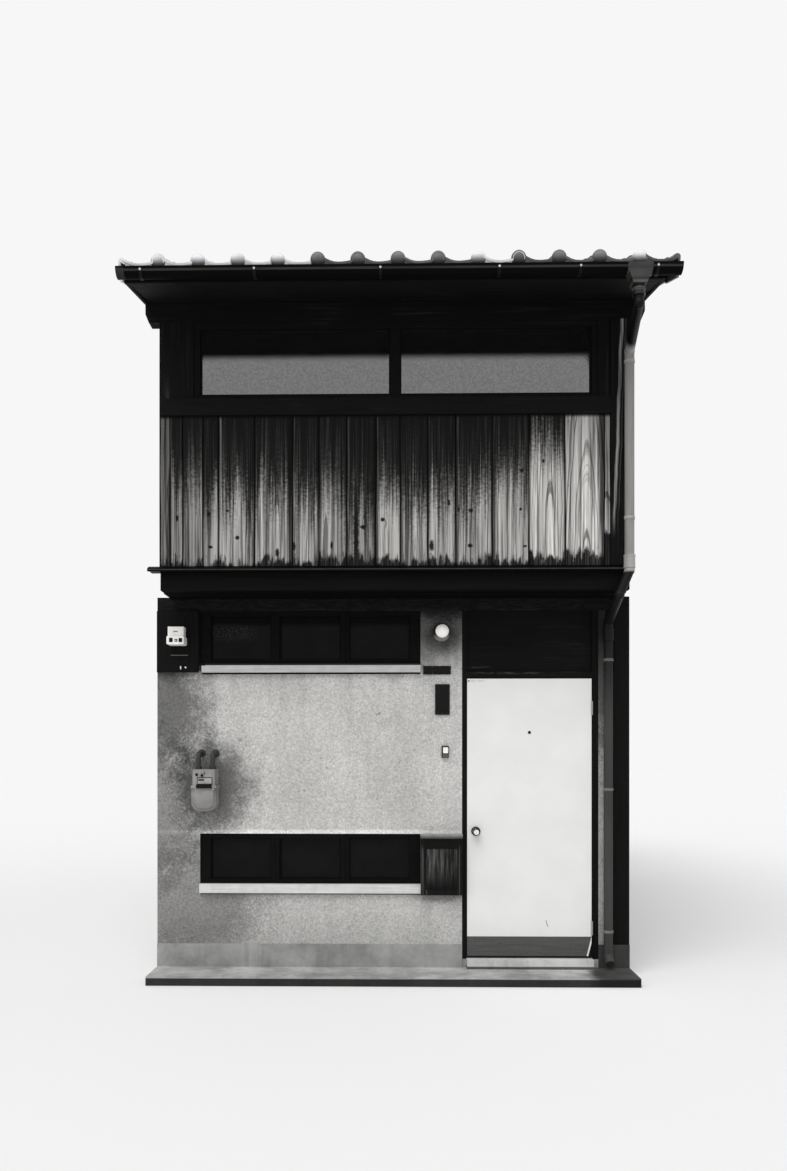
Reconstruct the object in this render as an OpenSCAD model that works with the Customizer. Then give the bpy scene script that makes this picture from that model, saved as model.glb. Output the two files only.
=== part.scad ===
// Machiya townhouse: a narrow two-storey timber house of a terrace, from ground level up.
// Millimetres. The street front faces -Y, +X is to the right, Z = 0 is the ground and Y = 0 the ridge line.

/* [Plan] */
// From the roof's centre line to the outside of the left party wall
lower_left = 1734; // [1680:1:1750]
// From the roof's centre line to the outside of the right party wall
lower_right = 1660; // [1640:1:1750]
// From the roof's centre line to the outside of the left upper wall
upper_left = 1630; // [1610:1:1640]
// From the roof's centre line to the outside of the right upper wall
upper_right = 1580; // [1570:1:1600]
// From the ridge line to the outer face of the upper front wall and of the rear wall
half_depth = 3550; // [3000:10:4200]
// How far the upper storey stands out over the street front below
jetty = 350; // [300:5:400]
// Thickness of the street and rear walls of the lower storey
lower_t = 120; // [100:5:150]
// Thickness of the party walls
party_t = 150; // [140:5:200]
// Thickness of the walls of the upper storey
upper_t = 100; // [90:5:120]

/* [Levels] */
// Top of the concrete apron under the jetty
apron_h = 60; // [40:5:90]
// Top of the concrete ground floor
ground_t = 120; // [110:5:160]
// Height of the darker mortar skirting
skirting_top = 225; // [180:5:280]
// How far the skirting stands out of the plaster
skirting_t = 12; // [8:1:20]
// Underside of the upper floor
lower_top = 2720; // [2650:5:2850]
// Thickness of the upper floor
floor_t = 130; // [110:5:160]
// Height of the head beam over the doors and windows of the lower storey
head_beam_h = 100; // [80:5:130]
// How far the jetty beam reaches below the upper floor
jetty_beam_drop = 5; // [2:1:15]
// Thickness of the boards under the jetty
jetty_soffit_t = 12; // [9:1:15]
// Height of the metal ledge at the foot of the upper wall
ledge_h = 30; // [24:1:40]
// How far the ledge stands out
ledge_out = 42; // [30:1:60]
// How far the ledge reaches past the left end of the upper wall
ledge_past = 82; // [60:1:90]
// Height of the ledge's turned-down lip
ledge_lip = 10; // [6:1:16]

/* [Upper front] */
// Height of the boarded apron under the upper windows
board_h = 1033; // [900:1:1150]
// Widths of the boards from the left, where the last strip takes what is left
board_widths = [154, 140, 106, 250, 260, 181, 192, 198, 165, 188, 191, 250, 250, 247, 266]; // [90:1:280]
// Width of the joint between two boards
board_joint = 5; // [3:1:8]
// Depth of the joint between two boards
board_joint_depth = 9; // [6:1:14]
// Width of the post at the right corner of the upper front
corner_post_w = 130; // [110:5:150]
// How far the corner post stands out of the boards
corner_post_out = 12; // [6:1:25]
// Height of the rail under the upper windows
sill_rail_h = 117; // [90:1:140]
// How far that rail stands out
sill_rail_out = 18; // [10:1:30]
// Height of the upper window frame
upper_window_h = 526; // [450:1:600]
// Width of the wall beside the upper windows on the left
upper_pier_left = 225; // [180:5:260]
// Width of the wall between the upper windows and the corner post
upper_pier_right = 80; // [60:5:120]
// Face width of the outer members of a window frame
frame_w = 45; // [35:1:60]
// Face width of the post between the two upper windows
mullion_w = 68; // [55:1:80]
// Depth of every window frame
frame_t = 60; // [45:5:80]
// How far every window frame sits back from the wall's face
frame_back = 10; // [5:1:20]
// Thickness of the window glass
glass_t = 5; // [4:1:8]

/* [Lower front] */
// From the roof's centre line to the left edge of the lower windows
window_left = 1425; // [1380:5:1500]
// From the roof's centre line to the right edge of the lower windows
window_right = 165; // [140:5:180]
// Underside of the low window's opening
low_window_z = 657; // [600:1:720]
// Height of the low window
low_window_h = 360; // [320:5:420]
// Height of the low window's sill
low_sill_h = 65; // [50:1:75]
// Underside of the high window
high_window_z = 2240; // [2200:1:2300]
// Height of the high window's sill
high_sill_h = 50; // [40:1:60]
// How far the window sills stand out
sill_out = 35; // [25:1:50]
// Number of sashes in each lower window
sash_n = 3; // [2:1:4]
// Face width of a sash's stile
sash_w = 30; // [24:1:40]
// Width of the shutter box beside the low window
shutter_w = 298; // [270:1:302]
// Height of the shutter box
shutter_h = 432; // [390:1:470]
// How far the shutter box stands out
shutter_out = 70; // [50:5:100]
// Width of the shutter box's frame
shutter_rim = 38; // [28:1:50]
// Depth of the panel inside that frame
shutter_recess = 14; // [8:1:24]

/* [Door] */
// From the roof's centre line to the left edge of the door frame
door_left = 463; // [455:1:470]
// Width of the left jamb
jamb_left_w = 32; // [28:1:40]
// Width of the right jamb
jamb_right_w = 44; // [38:1:50]
// Width of the door leaf
leaf_w = 890; // [860:1:895]
// Height of the door leaf
leaf_h = 2000; // [1900:5:2030]
// Thickness of the door leaf
leaf_t = 36; // [32:1:42]
// Gap all round the door leaf
door_gap = 5; // [5:1:8]
// Gap under the door leaf
door_under = 7; // [6:1:10]
// Height of the rail over the door
transom_rail_h = 45; // [35:1:60]
// Depth of the jambs
jamb_t = 110; // [100:5:120]
// Width of the stop that the leaf shuts against
stop_w = 14; // [10:1:18]
// Thickness of the panel over the door
transom_t = 20; // [14:1:30]
// How far that panel sits back
transom_back = 25; // [15:1:40]
// Thickness of the metal cover on the door's sill
door_sill_t = 5; // [4:1:5]
// How far the door step stands out
step_out = 70; // [50:5:90]
// Width of the light strip beside the right jamb
side_strip_w = 47; // [40:1:55]
// Height of the knob's axis above the leaf's foot
knob_z = 906; // [860:2:960]
// From the leaf's free edge to the knob's axis
knob_in = 61; // [55:1:70]
// Radius of the knob
knob_r = 26; // [22:1:30]
// Radius of the round plate behind the knob
rose_r = 32; // [30:1:36]
// Radius of the spindle
spindle_r = 6; // [5:0.5:8]
// Radius of the hinge knuckles
knuckle_r = 7; // [6:0.5:9]
// Radius of the hinge pins
hinge_pin_r = 3; // [2.5:0.5:4]
// Height of a hinge
hinge_h = 100; // [80:5:120]
// From the leaf's ends to the middle of each hinge
hinge_in = 212; // [180:2:260]

/* [Roof] */
// Rise of the roof for each millimetre of run
slope = 0.4; // [0.35:0.01:0.45]
// From the wall's face to the tip of the roof boards
eave_out = 520; // [450:5:600]
// Height of the wall-top beam at its outer face
top_beam_h = 207; // [190:1:240]
// Thickness of the roof boards
roof_board_t = 20; // [15:1:25]
// Depth of the rafters
rafter_h = 60; // [50:1:75]
// Width of the rafters
rafter_w = 40; // [35:1:50]
// Number of rafters on each slope
rafter_n = 7; // [5:1:9]
// How far the beams reach past the side walls
verge_out = 104; // [95:1:108]
// Thickness of the boards that close the roof's edges
verge_t = 20; // [15:1:24]
// Depth of those boards along the gable
verge_h = 150; // [120:5:180]
// Thickness of the boards under the eaves
soffit_t = 12; // [9:1:15]
// How far the eaves' boards meet the wall-top beam above its underside
soffit_rise = 139; // [125:1:150]
// Thickness of the board across the rafter ends
fascia_t = 15; // [12:1:20]
// Height of that board
fascia_h = 38; // [32:1:45]
// Width of the ridge beam
ridge_beam_w = 105; // [90:5:120]
// Height of the ridge beam
ridge_beam_h = 180; // [150:5:210]
// Depth of the purlins
purlin_h = 150; // [120:5:180]
// Length of the cut at the lower corner of a beam's end
nose_cut = 24; // [18:1:30]
// Height of that cut
nose_cut_h = 60; // [45:1:75]

/* [Tiles] */
// Width of a tile column
tile_pitch = 250; // [249:0.5:252]
// Height of a pan's lowest line over the roof boards
pan_h = 60; // [50:1:70]
// How much a pan's sides rise
pan_rise = 9; // [6:1:12]
// Radius of the rolls
roll_r = 45; // [40:1:50]
// Height of a roll's centre over the roof boards
roll_h = 82; // [76:1:88]
// How far the eave tiles reach past the roof boards
nose_out = 78; // [65:1:90]
// Height of the eave tiles' underside over the roof boards
nose_lift = 32; // [26:1:38]
// Radius of the round ends of the eave tiles
disc_r = 48; // [46:1:52]
// Thickness of the round ends
disc_t = 20; // [14:1:26]
// How far the round ends stand proud of the pans between them
disc_proud = 4; // [2:1:8]
// How far the edge tiles hang down over the gable
edge_drop = 48; // [35:1:60]
// Thickness of that hanging edge
edge_t = 14; // [10:1:16]
// Half of the ridge's flat tile width
ridge_flat_w = 125; // [110:5:150]
// How much each course of flat ridge tiles is narrower on each side than the one below
ridge_course_in = 14; // [8:1:20]
// Height of one course of flat ridge tiles
ridge_course_h = 30; // [26:1:40]
// Number of those courses
ridge_courses = 2; // [1:1:4]
// Radius of the round end tiles of the ridge
ridge_end_r = 88; // [82:1:100]
// Thickness of those end tiles
ridge_end_t = 25; // [18:1:35]
// Radius of the round ridge tile
ridge_roll_r = 70; // [60:1:80]

/* [Rainwater] */
// Outer radius of the gutters
gutter_r = 55; // [50:1:60]
// Thickness of the gutters
gutter_t = 3; // [2.5:0.5:4]
// How far the gutters reach past the tiles at each end
gutter_past = 12; // [8:1:20]
// From the board across the rafter ends to the gutter
gutter_gap = 5; // [4:1:8]
// Level of the gutters' rim over the tip of the roof boards
gutter_rim = -10; // [-14:1:-6]
// Places of the gutter brackets along the front
bracket_x = [-1607, -895, -109, 628, 1130, 1607]; // [-1650:1:1650]
// From the ledge up to the first clip of a downpipe
clip_over_ledge = 300; // [200:5:500]
// From the wall-top beam down to the top clip of a downpipe
clip_under_eave = 320; // [250:5:450]
// Levels over the apron of the lower clips of the street pipe
street_clips = [260, 1270, 2190]; // [200:5:2250]
// Levels of the lower clips of the rear pipe
rear_clips = [800, 2000]; // [300:5:2400]
// Radius of the downpipes
pipe_r = 32.5; // [28:0.5:36]
// From the wall's face to the axis of a downpipe
pipe_off = 52; // [46:1:60]
// Place of the rain hopper along the front
hopper_x = 1498; // [1480:1:1505]
// Place of the upper downpipe along the front
upper_pipe_x = 1567; // [1565:1:1575]
// Place of the lower downpipe along the front
lower_pipe_x = 1499; // [1495:1:1505]
// Width of the rain hopper at its top
hopper_w = 155; // [140:1:170]
// Height of the rain hopper's box
hopper_h = 95; // [80:1:110]
// Thickness of the rain hopper's sleeve
hopper_t = 4; // [3:0.5:5]
// Height of the rain hopper's neck
neck_h = 60; // [50:1:80]
// How far a pipe goes up into the hopper's neck
socket_h = 35; // [25:1:50]
// From the neck down to the first bend of a downpipe
bend_drop = 45; // [40:1:60]
// Height of the slanting length under the neck
swan_h = 85; // [70:1:110]
// Height of the slanting length under the jetty
tuck_h = 165; // [140:1:180]
// Height over the apron at which the street pipe turns outwards
shoe_h = 100; // [80:1:140]
// How far its shoe reaches out
shoe_out = 60; // [45:1:80]
// How far the shoe drops
shoe_drop = 50; // [35:1:60]

/* [Fittings] */
// Size of the electricity meter: width, depth, height
meter_size = [151, 105, 151]; // [90:1:180]
// Size of the board behind it: width, depth, height
meter_board_size = [300, 20, 440]; // [12:1:480]
// Height of the electricity meter's underside
meter_z = 2369; // [2340:1:2400]
// Width of the gas meter
gas_w = 201; // [180:1:220]
// Height of the gas meter
gas_h = 302; // [280:1:320]
// Depth of the gas meter
gas_t = 150; // [130:1:170]
// Height of the gas meter's underside
gas_z = 1182; // [1150:1:1220]
// From the roof's centre line to the gas meter's left side
gas_left = 1489; // [1470:1:1500]
// From the wall to the back of the gas meter
gas_back = 45; // [35:1:55]
// Radius of the pipes over the gas meter
gas_pipe_r = 17; // [13:1:20]
// How far those pipes rise before they turn to the wall
gas_pipe_rise = 110; // [90:1:140]
// Place of the lamp: across, up
lamp_pos = [316, 2463]; // [300:1:2480]
// Radius of the lamp's globe
lamp_r = 57; // [50:1:62]
// From the wall to the back of the globe
lamp_back = 22; // [15:1:28]
// House number plate: left, underside, width, height
number_plate = [187, 2140, 194, 44]; // [35:1:2150]
// Name plate: left, underside, width, height
name_plate = [266, 1880, 108, 216]; // [90:1:1900]
// Bell push: left, underside, width, height
bell_push = [316, 1564, 51, 86]; // [45:1:1600]
// Thickness of the plates
plate_t = 10; // [6:1:15]
// Thickness of the bell push
bell_t = 22; // [16:1:28]

/* [Rear] */
// Width of the rear windows
rear_window_w = 800; // [600:10:820]
// Height of the rear windows
rear_window_h = 900; // [700:10:950]
// From a rear window's head up to the level of the wall-top beam over its floor
rear_head_gap = 106; // [90:1:200]

/* [Hidden] */
$fn = 48;
pitch_angle = atan(slope);
// Vertical depths of pieces that lie along the slope
board_v = roof_board_t / cos(pitch_angle);
rafter_v = rafter_h / cos(pitch_angle);
// Faces of the walls
upper_face = -half_depth;
lower_face = jetty - half_depth;
lower_back = lower_face + lower_t;
upper_back = upper_face + upper_t;
// Levels of the upper storey, from the floor up
upper_floor_z = lower_top + floor_t;
head_z = lower_top - head_beam_h;
board_z = upper_floor_z + ledge_h;
rail_z = board_z + board_h;
upper_window_z = rail_z + sill_rail_h;
top_beam_z = upper_window_z + upper_window_h;
// Across the upper front
post_x = upper_right - corner_post_w;
upper_frame_x0 = upper_pier_left - upper_left;
upper_frame_x1 = post_x - upper_pier_right;
// The roof's outline: top of the roof boards at a distance from the ridge line
wall_roof_z = top_beam_z + top_beam_h + rafter_v + board_v;
eave_y = half_depth + eave_out;
function roof_top(d) = wall_roof_z + slope * (half_depth - d);
function roof_under(d) = roof_top(d) - board_v;
function rafter_under(d) = roof_under(d) - rafter_v;
verge_x0 = -upper_left - verge_out;
verge_x1 = upper_right + verge_out;
fascia_y = eave_y + fascia_t;
fascia_z = roof_under(eave_y) - fascia_h;
soffit_wall_z = top_beam_z + soffit_rise;
// Tile columns enough to cover the roof's boards
tile_n = 2 * ceil((verge_x1 - verge_x0) / (2 * tile_pitch));
tile_half_w = tile_n * tile_pitch / 2;
// Clearance between the tiles and the boards that they lie on, and at each side of the ridge line
tile_seat = 0.2;
tile_ridge_gap = 30;
board_ridge_gap = 2;
// Places of the purlins
purlin_d = half_depth / 2;
// Underside line of the rafters past the wall, where the eaves' boards cut them shorter
soffit_slope = (soffit_wall_z - fascia_z) / eave_out;
function soffit_top(d) = soffit_wall_z + soffit_t - soffit_slope * (d - half_depth);
soffit_cut_d = half_depth + (rafter_under(half_depth) - soffit_top(half_depth)) / (slope - soffit_slope);
// Foot of a rear window over its floor
rear_sill_h = top_beam_z - upper_floor_z - rear_head_gap - rear_window_h;
// The row of sashes in a lower window
sash_span = (window_right + window_left - 2 * frame_w) / sash_n;
// The doorway and the hinge axis
door_clear_x0 = door_left + jamb_left_w;
leaf_x0 = door_clear_x0 + door_gap;
leaf_x1 = leaf_x0 + leaf_w;
door_clear_x1 = leaf_x1 + door_gap;
door_right = door_clear_x1 + jamb_right_w;
leaf_z = ground_t + door_sill_t + door_under;
rail_under = leaf_z + leaf_h + door_gap;
rail_top = rail_under + transom_rail_h;
hinge_x = leaf_x1 + door_gap / 2;
hinge_y = lower_face - knuckle_r - 1;
plate_y = lower_face + leaf_t - 2;
hinge_plate_t = door_gap / 2 - 0.5;
hinge_places = [leaf_z + hinge_in, leaf_z + leaf_h - hinge_in];
knuckle_gap = 0.5;
pin_gap = 0.05;
knob_x = leaf_x0 + knob_in;
knob_axis_z = leaf_z + knob_z;
spindle_gap = 1;
rose_t = 8;
knob_neck = 24;
knob_len = 34;
// The gutters
gutter_y = fascia_y + gutter_gap + gutter_r;
gutter_z = roof_top(eave_y) + gutter_rim;
gutter_half = tile_half_w + gutter_past;
elbow_wall = 3;
hopper_top = gutter_z - gutter_r * 0.55;
hopper_low = hopper_top - hopper_h;
neck_z = hopper_low - neck_h;
bend_z = neck_z - bend_drop;
jetty_under = lower_top - jetty_beam_drop;
tuck_z = jetty_under - bend_drop;
upper_pipe_y = upper_face - pipe_off;
lower_pipe_y = lower_face - pipe_off;
shoe_z = apron_h + shoe_h;
rear_pipe_z = 60;
ledge_t = 3;
strap_t = 3;
strap_w = 20;
seat = 0.3;

// A block between two corners
module block(a, b) translate(a) cube(b - a);

// A profile drawn in Y and Z, run along X
module along_x(x0, x1) translate([x0, 0, 0]) rotate([90, 0, 90]) linear_extrude(height = x1 - x0) children();

// A profile drawn in X and Z, run along Y
module along_y(y0, y1) translate([0, y1, 0]) rotate([90, 0, 0]) linear_extrude(height = y1 - y0) children();

// The same piece on the street side and on the rear side
module both_slopes() {
    children();
    mirror([0, 1, 0]) children();
}

// A round pipe along a list of points, with an elbow fitting at each bend
module pipe_run(points, r) {
    for (i = [0 : len(points) - 2]) {
        v = points[i + 1] - points[i];
        translate(points[i]) rotate([0, acos(v.z / norm(v)), atan2(v.y, v.x)]) cylinder(r = r, h = norm(v));
    }
    for (i = [1 : 1 : len(points) - 2]) translate(points[i]) sphere(r = r + elbow_wall);
}

module ground_slab() {
    color("dimgray") block([-lower_left, lower_face, 0], [lower_right, half_depth, ground_t]);
}

module front_apron() {
    color("gray") block([-lower_left, upper_face, 0], [lower_right, lower_face, apron_h]);
}

module base_skirting() {
    color("gray") {
        block([-lower_left, lower_face - skirting_t, apron_h], [door_left, lower_face, skirting_top]);
        block([door_right, lower_face - skirting_t, apron_h], [lower_right, lower_face, skirting_top]);
    }
}

module door_step() {
    top = ground_t + door_sill_t;
    color("lightgray") along_x(door_clear_x0, door_clear_x1) polygon([
        [lower_face - step_out, apron_h], [lower_face, apron_h], [lower_face, ground_t],
        [lower_back, ground_t], [lower_back, top], [lower_face - step_out, top]
    ]);
}

module left_party_wall() {
    color("silver") block([-lower_left, lower_back, ground_t],
        [party_t - lower_left, half_depth - lower_t, lower_top]);
}

module right_party_wall() {
    color("silver") block([lower_right - party_t, lower_back, ground_t],
        [lower_right, half_depth - lower_t, lower_top]);
}

// A rear wall with its window cut through
module rear_wall(x0, x1, t, floor_z, top_z) {
    difference() {
        block([x0, half_depth - t, floor_z], [x1, half_depth, top_z]);
        block([-rear_window_w / 2, half_depth - t - 1, floor_z + rear_sill_h],
            [rear_window_w / 2, half_depth + 1, floor_z + rear_sill_h + rear_window_h]);
    }
}

module rear_lower_wall() {
    color("silver") rear_wall(-lower_left, lower_right, lower_t, ground_t, lower_top);
}

module rear_upper_wall() {
    color("dimgray") rear_wall(-upper_left, upper_right, upper_t, upper_floor_z, top_beam_z);
}

module front_wall_panels() {
    color("silver") {
        block([-window_left, lower_face, ground_t], [window_right, lower_back, low_window_z - low_sill_h]);
        block([-window_left, lower_face, low_window_z + low_window_h],
            [window_right, lower_back, high_window_z - high_sill_h]);
    }
}

module front_piers() {
    color("silver") {
        block([-lower_left, lower_face, ground_t], [-window_left, lower_back, head_z]);
        block([window_right, lower_face, ground_t], [door_left, lower_back, head_z]);
    }
}

module door_side_strip() {
    color("gainsboro") block([door_right, lower_face, ground_t],
        [door_right + side_strip_w, lower_back, head_z]);
}

module right_corner_post() {
    color("dimgray") block([door_right + side_strip_w, lower_face, ground_t],
        [lower_right, lower_back, head_z]);
}

module head_beam() {
    color("dimgray") block([-lower_left, lower_face, head_z], [lower_right, lower_back, lower_top]);
}

// A jamb with the stop that the leaf shuts against
module jamb(x0, x1, stop_x) {
    stop_y = lower_face + leaf_t + door_gap;
    block([x0, lower_face, ground_t], [x1, lower_face + jamb_t, head_z]);
    block([min(x0, stop_x), stop_y, ground_t + door_sill_t], [max(x1, stop_x), stop_y + stop_w, rail_under]);
}

module door_jambs() {
    color("black") {
        jamb(door_left, door_clear_x0, door_clear_x0 + stop_w);
        jamb(door_clear_x1, door_right, door_clear_x1 - stop_w);
    }
}

// The rail over the door and the blind panel that stands on it
module door_transom() {
    color("black") union() {
        block([door_clear_x0, lower_face, rail_under], [door_clear_x1, lower_face + jamb_t, rail_top]);
        block([door_clear_x0, lower_face + transom_back, rail_top - 1],
            [door_clear_x1, lower_face + transom_back + transom_t, head_z]);
    }
}

module door_leaf() {
    color("whitesmoke") difference() {
        block([leaf_x0, lower_face, leaf_z], [leaf_x1, lower_face + leaf_t, leaf_z + leaf_h]);
        translate([knob_x, lower_face - 1, knob_axis_z]) rotate([-90, 0, 0])
            cylinder(r = spindle_r + spindle_gap, h = leaf_t + 2);
    }
}

// The round plates on both faces of the leaf
module door_roses() {
    color("gray") for (y = [lower_face - rose_t, lower_face + leaf_t]) {
        translate([knob_x, y, knob_axis_z]) rotate([-90, 0, 0]) difference() {
            cylinder(r = rose_r, h = rose_t);
            translate([0, 0, -1]) cylinder(r = spindle_r + spindle_gap, h = rose_t + 2);
        }
    }
}

// Half of a knob's outline: neck, swell and flat face
module knob_outline() {
    neck = knob_r * 0.42;
    polygon([
        [0, 0], [neck, 0], [neck, knob_neck], [knob_r * 0.9, knob_neck + knob_len * 0.2],
        [knob_r, knob_neck + knob_len * 0.45], [knob_r * 0.85, knob_neck + knob_len],
        [0, knob_neck + knob_len]
    ]);
}

// Street knob and room knob, joined by the spindle through the leaf
module door_knob() {
    out_y = lower_face - rose_t - spindle_gap;
    in_y = lower_face + leaf_t + rose_t + spindle_gap;
    color("gray") union() {
        translate([knob_x, out_y, knob_axis_z]) rotate([90, 0, 0]) rotate_extrude() knob_outline();
        translate([knob_x, in_y, knob_axis_z]) rotate([-90, 0, 0]) rotate_extrude() knob_outline();
        translate([knob_x, out_y - 1, knob_axis_z]) rotate([-90, 0, 0])
            cylinder(r = spindle_r, h = in_y - out_y + 2);
    }
}

// Frame half of a hinge: plate on the jamb, two outer knuckles and the pin
module hinge_frame_half(z) {
    low = z - hinge_h / 2;
    third = hinge_h / 3;
    slot_y = lower_face - knuckle_gap;
    difference() {
        union() {
            block([door_clear_x1 - hinge_plate_t, lower_face, low], [door_clear_x1, plate_y, low + hinge_h]);
            for (k = [0, 2]) {
                translate([hinge_x, hinge_y, low + k * third]) cylinder(r = knuckle_r, h = third);
                block([door_clear_x1 - hinge_plate_t, hinge_y, low + k * third],
                    [door_clear_x1, lower_face + 1, low + (k + 1) * third]);
            }
        }
        block([leaf_x0, slot_y - 2 * knuckle_r - 2, low + third],
            [leaf_x1 + hinge_plate_t + knuckle_gap, slot_y, low + 2 * third]);
    }
    translate([hinge_x, hinge_y, low]) cylinder(r = hinge_pin_r, h = hinge_h);
}

module hinge_frame_plates() color("gray") for (z = hinge_places) hinge_frame_half(z);

// Door half of a hinge: plate on the leaf's edge and the middle knuckle
module hinge_door_plates() {
    color("gray") for (z = hinge_places) {
        low = z - hinge_h / 6 + knuckle_gap;
        high = z + hinge_h / 6 - knuckle_gap;
        difference() {
            union() {
                block([leaf_x1, lower_face, z - hinge_h / 2],
                    [leaf_x1 + hinge_plate_t, plate_y, z + hinge_h / 2]);
                block([leaf_x1, hinge_y, low], [leaf_x1 + hinge_plate_t, lower_face + 1, high]);
                translate([hinge_x, hinge_y, low]) cylinder(r = knuckle_r, h = high - low);
            }
            translate([hinge_x, hinge_y, low - 1]) cylinder(r = hinge_pin_r + pin_gap, h = high - low + 2);
        }
    }
}

// The glazed openings of a window with a row of sashes: left and right edge of each
function sash_x0(i) = frame_w - window_left + i * sash_span + sash_w;
function sash_x1(i) = frame_w - window_left + (i + 1) * sash_span - sash_w;

// The glass openings of one lower window, as blocks of a given depth
module sash_openings(z0, z1, y0, y1) {
    for (i = [0 : sash_n - 1]) block([sash_x0(i), y0, z0 + sash_w], [sash_x1(i), y1, z1 - sash_w]);
}

module sash_frame(z0, z1) {
    y0 = lower_face + frame_back;
    difference() {
        block([-window_left, y0, z0], [window_right, y0 + frame_t, z1]);
        sash_openings(z0, z1, y0 - 1, y0 + frame_t + 1);
    }
}

// The glass openings of the two upper windows
module upper_openings(y0, y1) {
    low = upper_window_z + frame_w * 0.6;
    high = top_beam_z - frame_w;
    mid = (upper_frame_x0 + upper_frame_x1) / 2;
    block([upper_frame_x0 + frame_w, y0, low], [mid - mullion_w / 2, y1, high]);
    block([mid + mullion_w / 2, y0, low], [upper_frame_x1 - frame_w, y1, high]);
}

// The glass opening of a rear window, as a block of a given depth
module rear_opening(floor_z, y0, y1) {
    low = floor_z + rear_sill_h + frame_w;
    block([frame_w - rear_window_w / 2, y0, low],
        [rear_window_w / 2 - frame_w, y1, low + rear_window_h - 2 * frame_w]);
}

module rear_frame(floor_z) {
    y1 = half_depth - frame_back;
    low = floor_z + rear_sill_h;
    difference() {
        block([-rear_window_w / 2, y1 - frame_t, low], [rear_window_w / 2, y1, low + rear_window_h]);
        rear_opening(floor_z, y1 - frame_t - 1, y1 + 1);
    }
}

module lower_window_frames() {
    color("black") {
        sash_frame(low_window_z, low_window_z + low_window_h);
        sash_frame(high_window_z, head_z);
        rear_frame(ground_t);
    }
}

module lower_window_glass() {
    y0 = lower_face + frame_back + frame_t / 2;
    rear_y = half_depth - frame_back - frame_t / 2;
    color("slategray") {
        sash_openings(low_window_z, low_window_z + low_window_h, y0, y0 + glass_t);
        sash_openings(high_window_z, head_z, y0, y0 + glass_t);
        rear_opening(ground_t, rear_y, rear_y + glass_t);
    }
}

module window_sills() {
    color("gainsboro") {
        block([-window_left, lower_face - sill_out, low_window_z - low_sill_h],
            [window_right, lower_back, low_window_z]);
        block([-window_left, lower_face - sill_out, high_window_z - high_sill_h],
            [window_right, lower_back, high_window_z]);
    }
}

module shutter_box() {
    y0 = lower_face - shutter_out;
    top = low_window_z + low_window_h;
    low = top - shutter_h;
    color("dimgray") difference() {
        block([window_right, y0, low], [window_right + shutter_w, lower_face, top]);
        block([window_right + shutter_rim, y0 - 1, low + shutter_rim],
            [window_right + shutter_w - shutter_rim, y0 + shutter_recess, top - shutter_rim]);
    }
}

module meter_board() {
    color("dimgray") block([-lower_left, lower_face - meter_board_size.y, head_z - meter_board_size.z],
        [meter_board_size.x - lower_left, lower_face, head_z]);
}

// A rectangle with round corners, from its lower left corner
module round_rect(w, h, r) {
    translate([r, 0]) square([w - 2 * r, h]);
    translate([0, r]) square([w, h - 2 * r]);
    for (x = [r, w - r], y = [r, h - r]) translate([x, y]) circle(r = r);
}

// A narrower window housing above the round-cornered body of the meter
module electric_meter() {
    y1 = lower_face - meter_board_size.y;
    x0 = -lower_left + (meter_board_size.x - meter_size.x) * 0.45;
    body_h = meter_size.z * 0.58;
    side = meter_size.x * 0.08;
    lap = meter_size.z * 0.13;
    color("whitesmoke") union() {
        translate([x0 + side, 0, meter_z + body_h - lap]) along_y(y1 - meter_size.y * 0.7, y1)
            round_rect(meter_size.x - 2 * side, meter_size.z - body_h + lap, lap * 0.4);
        translate([x0, 0, meter_z]) along_y(y1 - meter_size.y, y1) round_rect(meter_size.x, body_h, lap);
    }
}

// Body with round lower corners, its cap, the two pipes and their elbows to the wall
module gas_meter() {
    y1 = lower_face - gas_back;
    cap_h = gas_h * 0.38;
    r = gas_w * 0.28;
    body_in = gas_w * 0.04;
    cap_z = gas_z + gas_h - cap_h;
    pipe_y = y1 - gas_t / 2;
    pipe_z = gas_z + gas_h;
    color("lightgray") union() {
        block([-gas_left, y1 - gas_t, cap_z], [gas_w - gas_left, y1, pipe_z]);
        translate([body_in - gas_left, 0, gas_z]) along_y(y1 - gas_t + body_in, y1 - body_in)
            round_rect(gas_w - 2 * body_in, gas_h - cap_h + r, r);
        for (side = [-1, 1]) {
            x = gas_w / 2 - gas_left + side * gas_w * 0.3;
            translate([x, pipe_y, pipe_z - 1]) cylinder(r = gas_pipe_r * 1.5, h = gas_pipe_r * 1.5);
            pipe_run([
                [x, pipe_y, pipe_z + 5],
                [x, pipe_y, pipe_z + gas_pipe_rise],
                [x, lower_face, pipe_z + gas_pipe_rise]
            ], gas_pipe_r);
        }
    }
}

module globe_lamp() {
    y = lower_face - lamp_back - lamp_r;
    neck = lamp_back + lamp_r * 0.2;
    color("white") union() {
        translate([lamp_pos.x, y, lamp_pos.y]) sphere(r = lamp_r);
        translate([lamp_pos.x, lower_face - neck, lamp_pos.y]) rotate([-90, 0, 0])
            cylinder(r = lamp_r * 0.6, h = neck);
    }
}

// A plate on the wall from its left edge, underside, width and height
module wall_plate(p) {
    block([p[0], lower_face - plate_t, p[1]], [p[0] + p[2], lower_face, p[1] + p[3]]);
}

module name_plates() {
    color("black") {
        wall_plate(number_plate);
        wall_plate(name_plate);
    }
}

module bell_button() {
    x = bell_push[0];
    z = bell_push[1];
    button_r = bell_push[2] / 4;
    color("gray") union() {
        block([x, lower_face - bell_t, z], [x + bell_push[2], lower_face, z + bell_push[3]]);
        translate([x + bell_push[2] / 2, lower_face - bell_t - button_r / 3, z + bell_push[3] * 0.6])
            rotate([-90, 0, 0]) cylinder(r = button_r, h = button_r);
    }
}

module upper_floor() {
    color("dimgray") block([-upper_left, upper_back, lower_top], [upper_right, half_depth, upper_floor_z]);
}

module jetty_beam() {
    color("black") block([-upper_left, upper_face, lower_top - jetty_beam_drop],
        [upper_right, upper_back, upper_floor_z]);
}

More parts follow.
